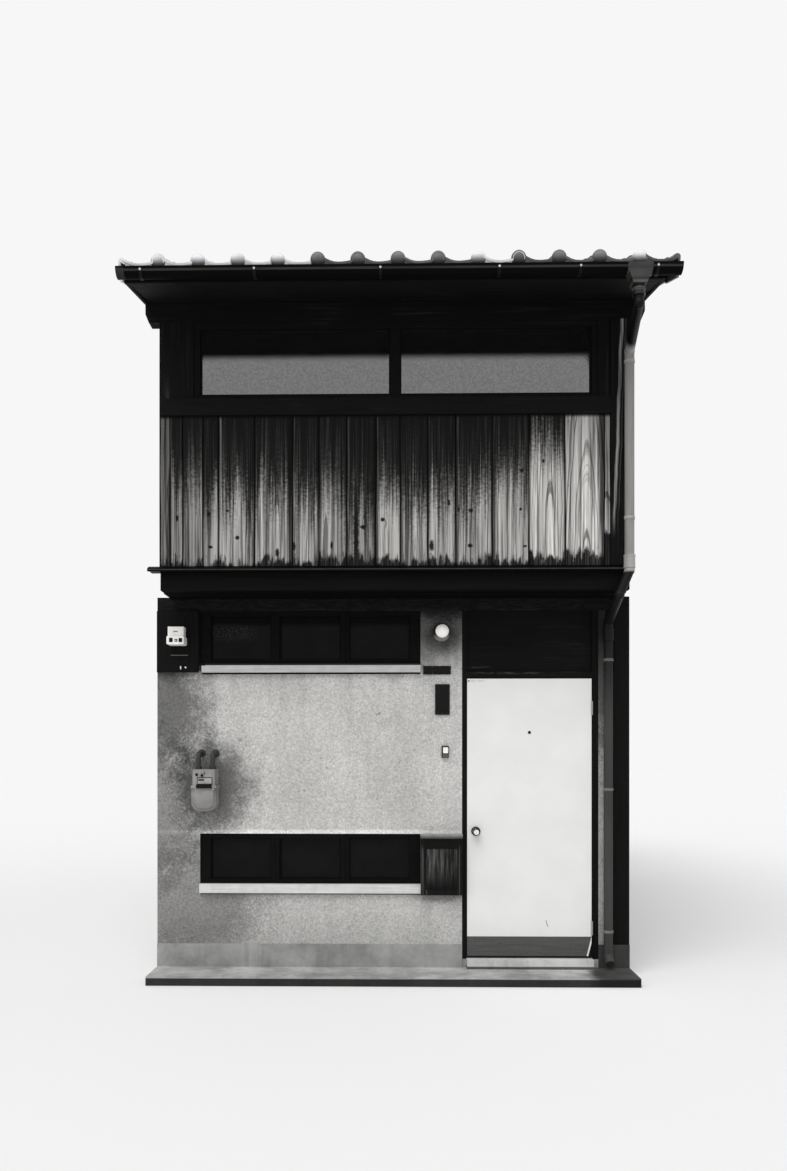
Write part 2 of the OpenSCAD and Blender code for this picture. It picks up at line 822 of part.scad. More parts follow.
module jetty_soffit() {
    color("black") block([-upper_left, upper_back, lower_top - jetty_soffit_t],
        [upper_right, lower_face, lower_top]);
}

// Metal ledge with a sloping top and a turned-down lip
module ledge_flashing() {
    lip_y = upper_face - ledge_out;
    color("silver") along_x(-upper_left - ledge_past, upper_pipe_x - pipe_r - ledge_t) polygon([
        [upper_back, upper_floor_z], [lip_y + ledge_t, upper_floor_z],
        [lip_y + ledge_t, upper_floor_z - ledge_lip], [lip_y, upper_floor_z - ledge_lip],
        [lip_y, upper_floor_z + ledge_h * 0.35], [upper_face, board_z], [upper_back, board_z]
    ]);
}

// Left edge of each joint between the boards, measured from the left end
function board_edge(i) = i < 0 ? 0 : board_widths[i] + board_edge(i - 1);

module upper_front_boards() {
    color("gray") difference() {
        block([-upper_left, upper_face, board_z], [post_x, upper_back, rail_z]);
        for (i = [0 : len(board_widths) - 1]) {
            x = board_edge(i) - upper_left;
            block([x - board_joint / 2, upper_face - 1, board_z - 1],
                [x + board_joint / 2, upper_face + board_joint_depth, rail_z + 1]);
        }
    }
}

module upper_posts() {
    color("dimgray") {
        block([post_x, upper_face - corner_post_out, board_z], [upper_right, upper_back, top_beam_z]);
        block([upper_frame_x1, upper_face, upper_window_z], [post_x, upper_back, top_beam_z]);
        block([-upper_left, upper_face, upper_window_z], [upper_frame_x0, upper_back, top_beam_z]);
    }
}

module upper_sill_rail() {
    color("black") block([-upper_left, upper_face - sill_rail_out, rail_z],
        [post_x, upper_back, upper_window_z]);
}

module upper_window_frames() {
    y0 = upper_face + frame_back;
    color("black") {
        difference() {
            block([upper_frame_x0, y0, upper_window_z], [upper_frame_x1, y0 + frame_t, top_beam_z]);
            upper_openings(y0 - 1, y0 + frame_t + 1);
        }
        rear_frame(upper_floor_z);
    }
}

module upper_window_glass() {
    y0 = upper_face + frame_back + frame_t / 2;
    rear_y = half_depth - frame_back - frame_t / 2;
    color("lightsteelblue") {
        upper_openings(y0, y0 + glass_t);
        rear_opening(upper_floor_z, rear_y, rear_y + glass_t);
    }
}

// A side wall up to the roof boards, notched round the beams that pass through it
module side_wall(x0, x1) {
    d = -upper_back;
    difference() {
        along_x(x0, x1) polygon([
            [-d, upper_floor_z], [d, upper_floor_z],
            [d, roof_under(d)], [0, roof_under(0)], [-d, roof_under(d)]
        ]);
        roof_beams_plain(board_v);
    }
}

module left_upper_wall() color("dimgray") side_wall(-upper_left, upper_t - upper_left);

module right_upper_wall() color("dimgray") side_wall(upper_right - upper_t, upper_right);

// Wall-top beams, purlins and ridge beam, before their ends are trimmed; a notch tool is taller at the ridge
module roof_beams_plain(ridge_extra = 0) {
    x0 = verge_x0 + verge_t;
    x1 = verge_x1 - verge_t;
    half_t = upper_t / 2;
    both_slopes() {
        along_x(verge_x0, verge_x1) polygon([
            [upper_face, top_beam_z], [upper_back, top_beam_z],
            [upper_back, rafter_under(-upper_back)], [upper_face, rafter_under(half_depth)]
        ]);
        along_x(x0, x1) polygon([
            [-purlin_d - half_t, rafter_under(purlin_d) - purlin_h],
            [half_t - purlin_d, rafter_under(purlin_d) - purlin_h],
            [half_t - purlin_d, rafter_under(purlin_d - half_t)],
            [-purlin_d - half_t, rafter_under(purlin_d + half_t)]
        ]);
    }
    w = ridge_beam_w / 2;
    along_x(x0, x1) polygon([
        [-w, roof_under(w) - ridge_beam_h], [w, roof_under(w) - ridge_beam_h],
        [w, roof_under(w) + ridge_extra], [0, roof_under(0) + ridge_extra], [-w, roof_under(w) + ridge_extra]
    ]);
}

module roof_beams() {
    color("black") difference() {
        roof_beams_plain();
        verge_boards();
        beam_end_cut(verge_x0, 1);
        beam_end_cut(verge_x1, -1);
    }
}

// The cut under the wall-top beams' ends: place of the end, way back into the beam
module beam_end_cut(x, way) {
    both_slopes() along_y(upper_face - 1, upper_back + 1) polygon([
        [x - way, top_beam_z - 1], [x + way * nose_cut, top_beam_z - 1],
        [x - way, top_beam_z + nose_cut_h]
    ]);
}

module rafters() {
    x0 = upper_t - upper_left;
    step = (upper_right + upper_left - 2 * upper_t - rafter_w) / (rafter_n - 1);
    w = ridge_beam_w / 2;
    color("dimgray") both_slopes() for (i = [0 : rafter_n - 1]) {
        along_x(x0 + i * step, x0 + i * step + rafter_w) polygon([
            [-w, roof_under(w)], [-w, rafter_under(w)], [-soffit_cut_d, rafter_under(soffit_cut_d)],
            [-eave_y, soffit_top(eave_y)], [-eave_y, roof_under(eave_y)]
        ]);
    }
}

module roof_boards() {
    color("dimgray") both_slopes() along_x(verge_x0, verge_x1) polygon([
        [-board_ridge_gap, roof_under(board_ridge_gap)], [-board_ridge_gap, roof_top(board_ridge_gap)],
        [-eave_y, roof_top(eave_y)], [-eave_y, roof_under(eave_y)]
    ]);
}

// The boards under each eave and the board across its rafter ends, which also covers the boards' edge
module eave_boards() {
    color("black") both_slopes() along_x(verge_x0 + verge_t, verge_x1 - verge_t) polygon([
        [upper_face, soffit_wall_z], [upper_face, soffit_top(half_depth)],
        [-eave_y, soffit_top(eave_y)], [-eave_y, roof_under(eave_y)],
        [-fascia_y, roof_under(eave_y)], [-fascia_y, fascia_z], [-eave_y, fascia_z]
    ]);
}

// One closing board: along the gable, then narrowing under the eave
module verge_profile() {
    polygon([
        [0, roof_under(0)], [-fascia_y, roof_under(fascia_y)], [-fascia_y, fascia_z], [-eave_y, fascia_z],
        [upper_face, min(soffit_wall_z, roof_under(half_depth) - verge_h)], [0, roof_under(0) - verge_h]
    ]);
}

module verge_boards() {
    color("black") for (x = [verge_x0, verge_x1 - verge_t]) along_x(x, x + verge_t) {
        verge_profile();
        mirror([1, 0]) verge_profile();
    }
}

// Wave of the tiles across the roof, above a given height over the boards
module tile_wave(low) {
    pan_half = tile_pitch / 2 - roll_r;
    pan_r = (pan_half * pan_half + pan_rise * pan_rise) / (2 * pan_rise);
    difference() {
        translate([-tile_half_w, low]) square([2 * tile_half_w, pan_h + pan_rise - low]);
        for (i = [0 : tile_n - 1]) {
            translate([(i + 0.5) * tile_pitch - tile_half_w, pan_h + pan_r]) circle(r = pan_r, $fn = 96);
        }
    }
    for (i = [1 : tile_n - 1]) translate([i * tile_pitch - tile_half_w, roll_h]) circle(r = roll_r);
    for (side = [-1, 1]) translate([side * (tile_half_w - roll_r * 0.6), roll_h]) circle(r = roll_r * 0.6);
}

// Lays a profile on the street slope from a distance off the ridge line down to another
module on_slope(d0, d1) {
    translate([0, -d0, roof_top(d0) + tile_seat]) rotate([90 + pitch_angle, 0, 0])
        linear_extrude(height = (d1 - d0) / cos(pitch_angle)) children();
}

module roof_tiles() {
    color("slategray") both_slopes() on_slope(tile_ridge_gap, eave_y) union() {
        tile_wave(0);
        for (side = [-1, 1]) translate([side * (tile_half_w - edge_t / 2) - edge_t / 2, -edge_drop])
            square([edge_t, edge_drop + 1]);
    }
}

module eave_end_tiles() {
    tip = eave_y + nose_out;
    color("slategray") both_slopes() union() {
        on_slope(eave_y, tip - disc_proud) tile_wave(nose_lift);
        on_slope(tip - disc_t, tip)
            for (i = [1 : tile_n - 1]) translate([i * tile_pitch - tile_half_w, roll_h]) circle(r = disc_r);
    }
}

// One course of flat ridge tiles, sunk a little into the next one
module ridge_course(i, z) {
    w = ridge_flat_w - i * ridge_course_in;
    translate([-w, z]) square([2 * w, ridge_course_h + (i < ridge_courses - 1 ? 1 : 0)]);
}

// Mortar bed, flat courses and round tile of the ridge, with a round tile at each end
module ridge_tiles() {
    base_z = roof_top(ridge_flat_w) + pan_h / cos(pitch_angle);
    course_z = roof_top(ridge_flat_w) + (roll_h + roll_r) / cos(pitch_angle);
    bed_in = 2 * ridge_course_in;
    bed_w = ridge_flat_w - bed_in;
    roll_z = course_z + ridge_courses * ridge_course_h;
    color("slategray") difference() {
        union() {
            along_x(-tile_half_w, tile_half_w) {
                polygon([
                    [-bed_w, base_z + slope * bed_in], [0, roof_top(0) + pan_h],
                    [bed_w, base_z + slope * bed_in], [bed_w, course_z + 1], [-bed_w, course_z + 1]
                ]);
                for (i = [0 : ridge_courses - 1]) ridge_course(i, course_z + i * ridge_course_h);
                translate([0, roll_z]) circle(r = ridge_roll_r);
            }
            for (x = [-tile_half_w, tile_half_w - ridge_end_t]) along_x(x, x + ridge_end_t)
                translate([0, roll_z]) circle(r = ridge_end_r);
        }
        roof_tiles();
    }
}

// A half-round channel with a rolled front lip, in Y and Z about its own centre
module gutter_profile() {
    intersection() {
        difference() {
            circle(r = gutter_r);
            circle(r = gutter_r - gutter_t);
        }
        translate([-gutter_r, -gutter_r]) square([2 * gutter_r, gutter_r]);
    }
    translate([gutter_t * 1.5 - gutter_r, 0]) circle(r = gutter_t * 1.5);
}

module gutter_end() {
    intersection() {
        circle(r = gutter_r);
        translate([-gutter_r, -gutter_r]) square([2 * gutter_r, gutter_r]);
    }
}

module gutters() {
    color("dimgray") both_slopes() union() {
        along_x(-gutter_half, gutter_half) translate([-gutter_y, gutter_z]) gutter_profile();
        for (x = [-gutter_half, gutter_half - gutter_t]) along_x(x, x + gutter_t)
            translate([-gutter_y, gutter_z]) gutter_end();
    }
}

// Straps under the gutters, each with its tail on the board behind
module gutter_brackets() {
    inner = gutter_r + seat;
    for (x = bracket_x) along_x(x - strap_w / 2, x + strap_w / 2) union() {
        translate([-gutter_y, gutter_z]) intersection() {
            difference() {
                circle(r = inner + strap_t);
                circle(r = inner);
            }
            translate([-inner - strap_t, -inner - strap_t]) square([2 * (inner + strap_t), inner + strap_t]);
        }
        translate([-fascia_y - strap_t, gutter_z - gutter_r * 0.7]) square([strap_t, gutter_r * 0.7]);
        translate([-fascia_y - gutter_gap, gutter_z - strap_t]) square([gutter_gap, strap_t]);
    }
}

// A sleeve round the gutter that narrows to a ringed neck: place along X, side of the house
module hopper(x) {
    sleeve_r = gutter_r + seat;
    box_half = sleeve_r * 0.86;
    difference() {
        union() {
            along_x(x - hopper_w / 2, x + hopper_w / 2) translate([-gutter_y, gutter_z]) intersection() {
                circle(r = sleeve_r + hopper_t);
                translate([-2 * gutter_r, -2 * gutter_r]) square([4 * gutter_r, 2 * gutter_r]);
            }
            translate([x, 0, 0]) along_y(-gutter_y - box_half, -gutter_y + box_half) polygon([
                [-hopper_w / 2, hopper_top], [hopper_w / 2, hopper_top],
                [pipe_r + hopper_t * 2, hopper_low], [-pipe_r - hopper_t * 2, hopper_low]
            ]);
            translate([x, -gutter_y, neck_z]) cylinder(r = pipe_r + hopper_t, h = neck_h + 1);
            for (z = [neck_z, neck_z + neck_h * 0.6])
                translate([x, -gutter_y, z]) cylinder(r = pipe_r + hopper_t * 2.2, h = neck_h * 0.15);
        }
        along_x(x - hopper_w, x + hopper_w) translate([-gutter_y, gutter_z]) circle(r = sleeve_r);
        translate([x, -gutter_y, neck_z - 1]) cylinder(r = pipe_r + seat, h = socket_h + 1);
    }
}

module rain_hoppers() {
    color("dimgray") {
        hopper(hopper_x);
        mirror([0, 1, 0]) hopper(-hopper_x);
    }
}

// The street pipe swings to the corner, tucks in under the jetty and ends in a shoe; the rear one is straight
module downpipes() {
    color("gray") {
        pipe_run([
            [hopper_x, -gutter_y, neck_z + socket_h],
            [hopper_x, -gutter_y, bend_z],
            [upper_pipe_x, upper_pipe_y, bend_z - swan_h],
            [upper_pipe_x, upper_pipe_y, tuck_z + tuck_h],
            [lower_pipe_x, upper_pipe_y, tuck_z],
            [lower_pipe_x, lower_pipe_y, tuck_z - 0.85 * tuck_h],
            [lower_pipe_x, lower_pipe_y, shoe_z],
            [lower_pipe_x, lower_pipe_y - shoe_out, shoe_z - shoe_drop]
        ], pipe_r);
        pipe_run([
            [-hopper_x, gutter_y, neck_z + socket_h],
            [-hopper_x, gutter_y, bend_z],
            [-hopper_x, half_depth + pipe_off, bend_z - swan_h],
            [-hopper_x, half_depth + pipe_off, rear_pipe_z]
        ], pipe_r);
    }
}

// A ring round the pipe with a stem to the wall behind it
module pipe_clip(x, y, z, wall_y) {
    way = wall_y > y ? 1 : -1;
    inner = pipe_r + seat;
    near = y + way * (inner + strap_t / 2);
    stem = strap_w * 0.3;
    union() {
        translate([x, y, z]) difference() {
            cylinder(r = inner + strap_t, h = strap_w);
            translate([0, 0, -1]) cylinder(r = inner, h = strap_w + 2);
        }
        block([x - stem, min(near, wall_y), z], [x + stem, max(near, wall_y), z + strap_w]);
    }
}

module rainwater_brackets() {
    upper_levels = [board_z + clip_over_ledge, top_beam_z - clip_under_eave];
    street_wall_y = upper_face - corner_post_out;
    rear_pipe_y = half_depth + pipe_off;
    color("dimgray") {
        both_slopes() gutter_brackets();
        for (z = upper_levels) pipe_clip(upper_pipe_x, upper_pipe_y, z, street_wall_y);
        for (z = street_clips) pipe_clip(lower_pipe_x, lower_pipe_y, apron_h + z, lower_face);
        for (z = concat(rear_clips, upper_levels)) pipe_clip(-hopper_x, rear_pipe_y, z, half_depth);
    }
}

ground_slab();
front_apron();
base_skirting();
door_step();
left_party_wall();
right_party_wall();
rear_lower_wall();
front_wall_panels();
front_piers();
door_side_strip();
right_corner_post();
head_beam();
door_jambs();
door_transom();
door_leaf();
door_roses();
door_knob();
hinge_frame_plates();
hinge_door_plates();
lower_window_frames();
lower_window_glass();
window_sills();
shutter_box();
meter_board();
electric_meter();
gas_meter();
globe_lamp();
name_plates();
bell_button();
upper_floor();
jetty_beam();
jetty_soffit();
ledge_flashing();
upper_front_boards();
upper_posts();
upper_sill_rail();
upper_window_frames();
upper_window_glass();
left_upper_wall();
right_upper_wall();
rear_upper_wall();
roof_beams();
rafters();
roof_boards();
eave_boards();
verge_boards();
roof_tiles();
eave_end_tiles();
ridge_tiles();
gutters();
rain_hoppers();
downpipes();
rainwater_brackets();
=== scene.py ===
# %% [markdown]
# # A machiya townhouse
# The solid model gives the frame: walls, roof planes, windows and the hinged door, all in metres.
# This notebook gives it its skin. Pieces that the eye reads one by one, such as tiles and boards,
# are computed as arrays of points, and every other solid gets a finish made of shader nodes.

import math

import bmesh
import bpy
import numpy as np
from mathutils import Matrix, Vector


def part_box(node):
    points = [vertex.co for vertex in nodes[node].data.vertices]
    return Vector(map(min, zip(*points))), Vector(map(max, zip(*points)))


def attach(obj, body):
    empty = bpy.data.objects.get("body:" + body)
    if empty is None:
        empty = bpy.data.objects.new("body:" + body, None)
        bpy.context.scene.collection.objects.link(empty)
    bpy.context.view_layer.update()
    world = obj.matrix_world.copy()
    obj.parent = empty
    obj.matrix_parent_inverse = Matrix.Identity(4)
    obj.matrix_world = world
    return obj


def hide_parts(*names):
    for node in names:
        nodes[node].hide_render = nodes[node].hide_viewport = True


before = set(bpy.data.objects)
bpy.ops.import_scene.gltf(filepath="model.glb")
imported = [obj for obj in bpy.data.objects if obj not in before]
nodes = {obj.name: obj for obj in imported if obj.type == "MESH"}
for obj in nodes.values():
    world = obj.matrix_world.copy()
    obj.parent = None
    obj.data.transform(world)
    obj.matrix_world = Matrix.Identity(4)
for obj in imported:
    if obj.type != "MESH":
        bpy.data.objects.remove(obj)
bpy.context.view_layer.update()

# %% [markdown]
# ## Camera
# The photograph was taken from across the street at eye height with upright lines kept upright.
# That is a level camera whose picture is shifted, not tilted. The horizon and the vanishing point
# give the shift, and the door's size gives the distance.

# %% Camera
IMAGE_W, IMAGE_H = 787, 1171
FOCAL_PX, HORIZON_PX, VANISH_PX = 1000.0, 750.0, 395.0
SENSOR = 36.0
TURN = 0.0177
EYE = (-0.022, -10.394, 1.62)

camera = bpy.data.objects.new("street_camera", bpy.data.cameras.new("street_camera"))
bpy.context.scene.collection.objects.link(camera)
camera.data.sensor_width = SENSOR
camera.data.lens = SENSOR * FOCAL_PX / IMAGE_H
camera.data.shift_x = (IMAGE_W / 2 - VANISH_PX + 0.5 + FOCAL_PX * math.tan(TURN)) / IMAGE_H
camera.data.shift_y = (HORIZON_PX - IMAGE_H / 2) / IMAGE_H
camera.data.clip_end = 300.0
camera.location = EYE
camera.rotation_euler = (math.radians(90), 0, TURN)
bpy.context.scene.camera = camera
print("lens", round(camera.data.lens, 2), "shift", round(camera.data.shift_y, 3))

# %% [markdown]
# ## Finishes as small recipes
# A finish is a tree of shader nodes. Writing each node by hand is long, so two small classes wrap
# them: a value is the output of a node, and arithmetic on values adds Math nodes. A recipe then
# reads like its formula.

# %% Finish class
WARM = (1.02, 1.0, 0.97)


class Value:
    """The output of a shader node, on which + - * and abs() work."""

    def __init__(self, finish, socket):
        self.finish, self.socket = finish, socket

    def __add__(self, other):
        return self.finish.math("ADD", self, other)

    def __sub__(self, other):
        return self.finish.math("SUBTRACT", self, other)

    def __mul__(self, other):
        return self.finish.math("MULTIPLY", self, other)

    def __abs__(self):
        return self.finish.math("ABSOLUTE", self)

    __radd__, __rmul__ = __add__, __mul__


class Finish:
    """One material. Every argument may be a number or a Value, and every method gives a Value."""

    def __init__(self, name):
        self.material = bpy.data.materials.new(name)
        self.material.use_nodes = True
        self.tree = self.material.node_tree
        self.shader = self.tree.nodes["Principled BSDF"]

    def feed(self, socket, value):
        if isinstance(value, Value):
            self.tree.links.new(value.socket, socket)
        else:
            socket.default_value = value

    def node(self, kind, *values, output=0, named=None, **settings):
        """Adds a node and feeds its inputs in order and by name; None leaves one alone."""
        made = self.tree.nodes.new("ShaderNode" + kind)
        for key, value in settings.items():
            setattr(made, key, value)
        for key, value in [*enumerate(values), *(named or {}).items()]:
            if value is not None:
                self.feed(made.inputs[key], value)
        return Value(self, made.outputs[output])

    def math(self, operation, a, b=0.0):
        return self.node("Math", a, b, operation=operation)

    def stretched(self, vector, scale):
        return self.node("VectorMath", vector, scale, operation="MULTIPLY")

    def whole(self, x, y, z):
        return self.node("CombineXYZ", x, y, z)

    def parts(self, vector):
        """The three numbers of a vector."""
        return [Value(self, part) for part in self.node("SeparateXYZ", vector).socket.node.outputs]

    def here(self):
        """The object's own coordinates in metres."""
        return self.node("TexCoord", output="Object")

    def xyz(self):
        return self.parts(self.here())

    def own(self, name, output="Vector"):
        """An attribute that the mesh carries."""
        return self.node("Attribute", output=output, attribute_name=name)

    def length(self, u, v):
        return self.node("VectorMath", self.whole(u, v, 0.0), output="Value", operation="LENGTH")

    def noise(self, *scale, detail=3.0, rough=0.5, at=None):
        """Noise over the object's coordinates, or over another point, times one scale or three."""
        place = self.stretched(at or self.here(), scale * (3 // len(scale)))
        return self.node("TexNoise", place, named={"Scale": 1.0, "Detail": detail, "Roughness": rough})

    def noise_line(self, w, detail=3.0, rough=0.5):
        """Noise along one number."""
        levels = {"W": w, "Scale": 1.0, "Detail": detail, "Roughness": rough}
        return self.node("TexNoise", named=levels, noise_dimensions="1D")

    def span(self, value, low, high, to_low=0.0, to_high=1.0):
        """Maps low..high to to_low..to_high with soft ends."""
        return self.node("MapRange", value, low, high, to_low, to_high, interpolation_type="SMOOTHSTEP")

    def product(self, base, *rows):
        """A base times one factor for each row (value, low, high, factor at low, factor at high)."""
        for row in rows:
            base = self.span(*row) * base
        return base

    def blend(self, share, a, b):
        """Number a where share is 0, b where it is 1."""
        return self.node("Mix", share, None, a, b, data_type="FLOAT")

    def near(self, value, centre, half, soft):
        """1 within half of a centre, falling to 0 over a further soft distance."""
        return self.span(abs(value - centre), half, half + soft, 1.0, 0.0)

    def done(self, value, rough, relief=None, tint=WARM, metal=0.0, shine=0.5, ior=1.5):
        """Feeds the shader a tinted grey, its gloss and a relief in metres; gives the material."""
        if isinstance(value, Value):
            colour = self.stretched(self.whole(value, value, value), tint)
        else:
            colour = (*(value * share for share in tint), 1.0)
        inputs = {"Base Color": colour, "Roughness": rough, "Metallic": metal,
                  "Specular IOR Level": shine, "IOR": ior}
        if relief is not None:
            inputs["Normal"] = self.node("Bump", named={"Strength": 1.0, "Distance": 1.0, "Height": relief})
        for key, setting in inputs.items():
            self.feed(self.shader.inputs[key], setting)
        return self.material


def dress(material, *names):
    """Gives solids of the model a finish through their material slots."""
    for name in names:
        for slot in nodes[name].material_slots:
            slot.material = material
    print(material.name, "on", ", ".join(names))


# %% [markdown]
# ## Pieces from arrays
# Tiles and boards are all tubes: a closed outline carried along a line, with a face over each end.
# One function turns an array of n tubes, r rings each and k points a ring, into faces, so a whole
# roof slope is a single piece of arithmetic.

# %% Tubes
def tube_faces(rings):
    """Faces of n closed tubes from points of shape (n, r, k, 3): quads between rings, both ends.
    Point j of ring i of a tube has the number first + i k + j, where first = tube number * r k."""
    n, r, k, _ = rings.shape
    first = np.arange(n)[:, None, None] * (r * k)
    i = np.arange(r - 1)[None, :, None] * k
    j = np.arange(k)[None, None, :]
    a = first + i + j
    b = first + i + (j + 1) % k
    sides = np.stack([a, b, b + k, a + k], -1).reshape(-1, 4)
    low = (first[:, 0] + np.arange(k)[::-1]).reshape(n, k)
    high = (first[:, 0] + (r - 1) * k + np.arange(k)).reshape(n, k)
    return [sides, low, high]


box = tube_faces(np.zeros((1, 2, 4, 3)))
print("a tube of two rings of four points is a box:", sum(len(f) for f in box), "faces")

# %% [markdown]
# A piece may hold several batches of tubes, each with its own number of rings and points. Their
# faces go into one mesh, which gets its material, its body and its slot in the same place.

# %% Pieces
def outward(mesh):
    """Turns every closed tube's faces outwards."""
    work = bmesh.new()
    work.from_mesh(mesh)
    bmesh.ops.recalc_face_normals(work, faces=work.faces)
    work.to_mesh(mesh)
    work.free()


def put(name, batches, material, body="house", values=None, replaces=()):
    """Makes one piece of several batches of tubes, which rides on a body; values are attributes."""
    points, faces, base = [], [], 0
    for rings in batches:
        points.append(rings.reshape(-1, 3))
        faces += [f + base for f in tube_faces(rings)]
        base += len(points[-1])
    points = np.concatenate(points)
    sizes = np.concatenate([np.full(len(f), f.shape[1]) for f in faces])
    corners = np.concatenate([f.ravel() for f in faces])
    starts = np.concatenate([[0], np.cumsum(sizes)[:-1]])
    mesh = bpy.data.meshes.new(name)
    mesh.vertices.add(len(points))
    mesh.vertices.foreach_set("co", points.astype(np.float32).ravel())
    mesh.loops.add(len(corners))
    mesh.loops.foreach_set("vertex_index", corners.astype(np.int32))
    mesh.polygons.add(len(sizes))
    mesh.polygons.foreach_set("loop_start", starts.astype(np.int32))
    mesh.update(calc_edges=True)
    for key, array in (values or {}).items():
        kind, field = ("FLOAT", "value") if array.ndim == 1 else ("FLOAT_VECTOR", "vector")
        attribute = mesh.attributes.new(key, kind, "POINT")
        attribute.data.foreach_set(field, array.astype(np.float32).ravel())
    mesh.polygons.foreach_set("use_smooth", np.zeros(len(sizes), bool))
    outward(mesh)
    mesh.materials.append(material)
    piece = bpy.data.objects.new(name, mesh)
    bpy.context.scene.collection.objects.link(piece)
    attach(piece, body)
    if replaces:
        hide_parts(*replaces)
    print(name, len(points), "points", len(sizes), "faces")


# %% [markdown]
# Outlines and shapes come from a few makers. A bar, a turned knob, a plate with a bevelled front and
# a bent pipe are enough for every small part of this house.

# %% Shapes
def ring_points(x, y, z):
    """Points (x, y, z) from three arrays that broadcast against each other."""
    return np.stack(np.broadcast_arrays(x, y, z), -1)


def block_ring(x0, x1, y0, y1, z0, z1, chamfer=0.0015):
    """Bars from z0 to z1 with their upright edges taken off: eight-sided outlines at both heights."""
    x0, x1, y0, y1, z0, z1 = np.broadcast_arrays(*map(np.atleast_1d, (x0, x1, y0, y1, z0, z1)))
    c = chamfer
    x = np.stack([x0 + c, x1 - c, x1, x1, x1 - c, x0 + c, x0, x0], -1)
    y = np.stack([y0, y0, y0 + c, y1 - c, y1, y1, y1 - c, y0 + c], -1)
    return ring_points(x[:, None], y[:, None], np.stack([z0, z1], -1)[..., None])


def turned(profile, centre, axis="y", segments=10):
    """A turned shape: profile rows are (distance along the axis, radius), axis is x, y or z."""
    along, radius = np.asarray(profile, float).T[..., None]
    angle = np.linspace(0, 2 * np.pi, segments, endpoint=False)
    points = ring_points(radius * np.cos(angle), radius * np.sin(angle), along)
    order = {"z": [0, 1, 2], "x": [2, 0, 1], "y": [1, 2, 0]}[axis]
    return (points[..., order] + np.asarray(centre, float))[None]


def ring_of_bars(x0, x1, z0, z1, w, y_back, y_front):
    """Four bars of width w just inside a rectangle: two full stiles, two rails between them."""
    y0, y1 = sorted((y_back, y_front))
    return block_ring([x0, x1 - w, x0 + w, x0 + w], [x0 + w, x1, x1 - w, x1 - w], y0, y1,
                      [z0, z0, z0, z1 - w], [z1, z1, z0 + w, z1], 0.0008)


def rounded(x0, x1, z0, z1, r, steps=5):
    """A rectangle with round corners as (x, z) points: four quarter circles of radius r."""
    angle = (np.arange(4)[:, None] + np.linspace(0, 1, steps)) * np.pi / 2
    centre = np.array([[x1 - r, z1 - r], [x0 + r, z1 - r], [x0 + r, z0 + r], [x1 - r, z0 + r]])
    return (centre[:, None] + r * np.stack([np.cos(angle), np.sin(angle)], -1)).reshape(-1, 2)


def u_outline(x0, x1, top, low, r, steps=8):
    """Down one side, round two quarter circles and up the other side, as (x, z) points."""
    a = np.linspace(0, np.pi / 2, steps)
    left = np.stack([x0 + r - r * np.cos(a), low + r - r * np.sin(a)], -1)
    right = np.stack([x1 - r + r * np.cos(a), low + r - r * np.sin(a)], -1)[::-1]
    return np.concatenate([[[x0, top]], left, right, [[x1, top]]])


def plaque(outline, y_back, y_front, bevel=0.0015):
    """A plate that faces the street: an outline of (x, z) points, its front edge bevelled. The
    bevelled ring is middle + (outline - middle) (1 - bevel / half size)."""
    outline = np.asarray(outline, float)
    middle = (outline.max(0) + outline.min(0)) / 2
    half = (outline.max(0) - outline.min(0)) / 2
    inset = middle + (outline - middle) * (1 - bevel / half)
    x, z = np.moveaxis(np.stack([outline, outline, inset]), -1, 0)
    return ring_points(x, np.array([[y_back], [y_front + bevel], [y_front]]), z)[None]


def bent_pipe(x, path, radius, segments=14):
    """A round pipe in the plane of one x: each ring stands square to the path of (y, z) points."""
    path = np.asarray(path, float)
    step = np.gradient(path, axis=0)
    step /= np.linalg.norm(step, axis=1, keepdims=True)
    angle = np.linspace(0, 2 * np.pi, segments, endpoint=False)
    y = path[:, :1] + radius * np.cos(angle) * step[:, 1:]
    z = path[:, 1:] - radius * np.cos(angle) * step[:, :1]
    return ring_points(x + radius * np.sin(angle), y, z)[None]


print("a bar:", block_ring(0, 1, 0, 1, 0, 1).shape, "a knob:", turned([[0, 1], [1, 1]], (0, 0, 0)).shape)

# %% [markdown]
# ## Black-stained timber
# The posts, rails and beams were stained black and have dulled in the weather. Under the deep eave
# they stay nearly black; where rain reaches them a grey grain shows along each member. The grain is
# noise drawn out along the member, so one recipe takes the direction as an argument.

# %% Timber
BLACK_STAIN = 0.0042


def stained_timber(name, along, worn=0.020, lines=(), stain=BLACK_STAIN):
    """Near-black timber with a grain along one axis. Each of lines is (z, half height, x0, x1,
    value): a run of dust or chipped stain on an edge."""
    f = Finish(name)
    grain = f.noise(*(2.0 if axis == along else 55.0 for axis in "xyz"), detail=5.0, rough=0.65)
    patch = f.noise(2.2)
    value = f.blend(f.span(grain, 0.48, 0.75) * f.span(patch, 0.42, 0.7), stain, worn)
    x, _, z = f.xyz()
    flakes = f.span(f.noise(14.0, 14.0, 90.0, detail=4.0, rough=0.7), 0.42, 0.62)
    for height, half, x0, x1, light in lines:
        run = f.near(z, height, half, half) * f.near(x, (x0 + x1) / 2, (x1 - x0) / 2, 0.05)
        value = f.blend(run * flakes, value, light)
    return f.done(value, f.span(grain, 0.3, 0.7, 0.62, 0.82), 0.0012 * grain, shine=0.08)


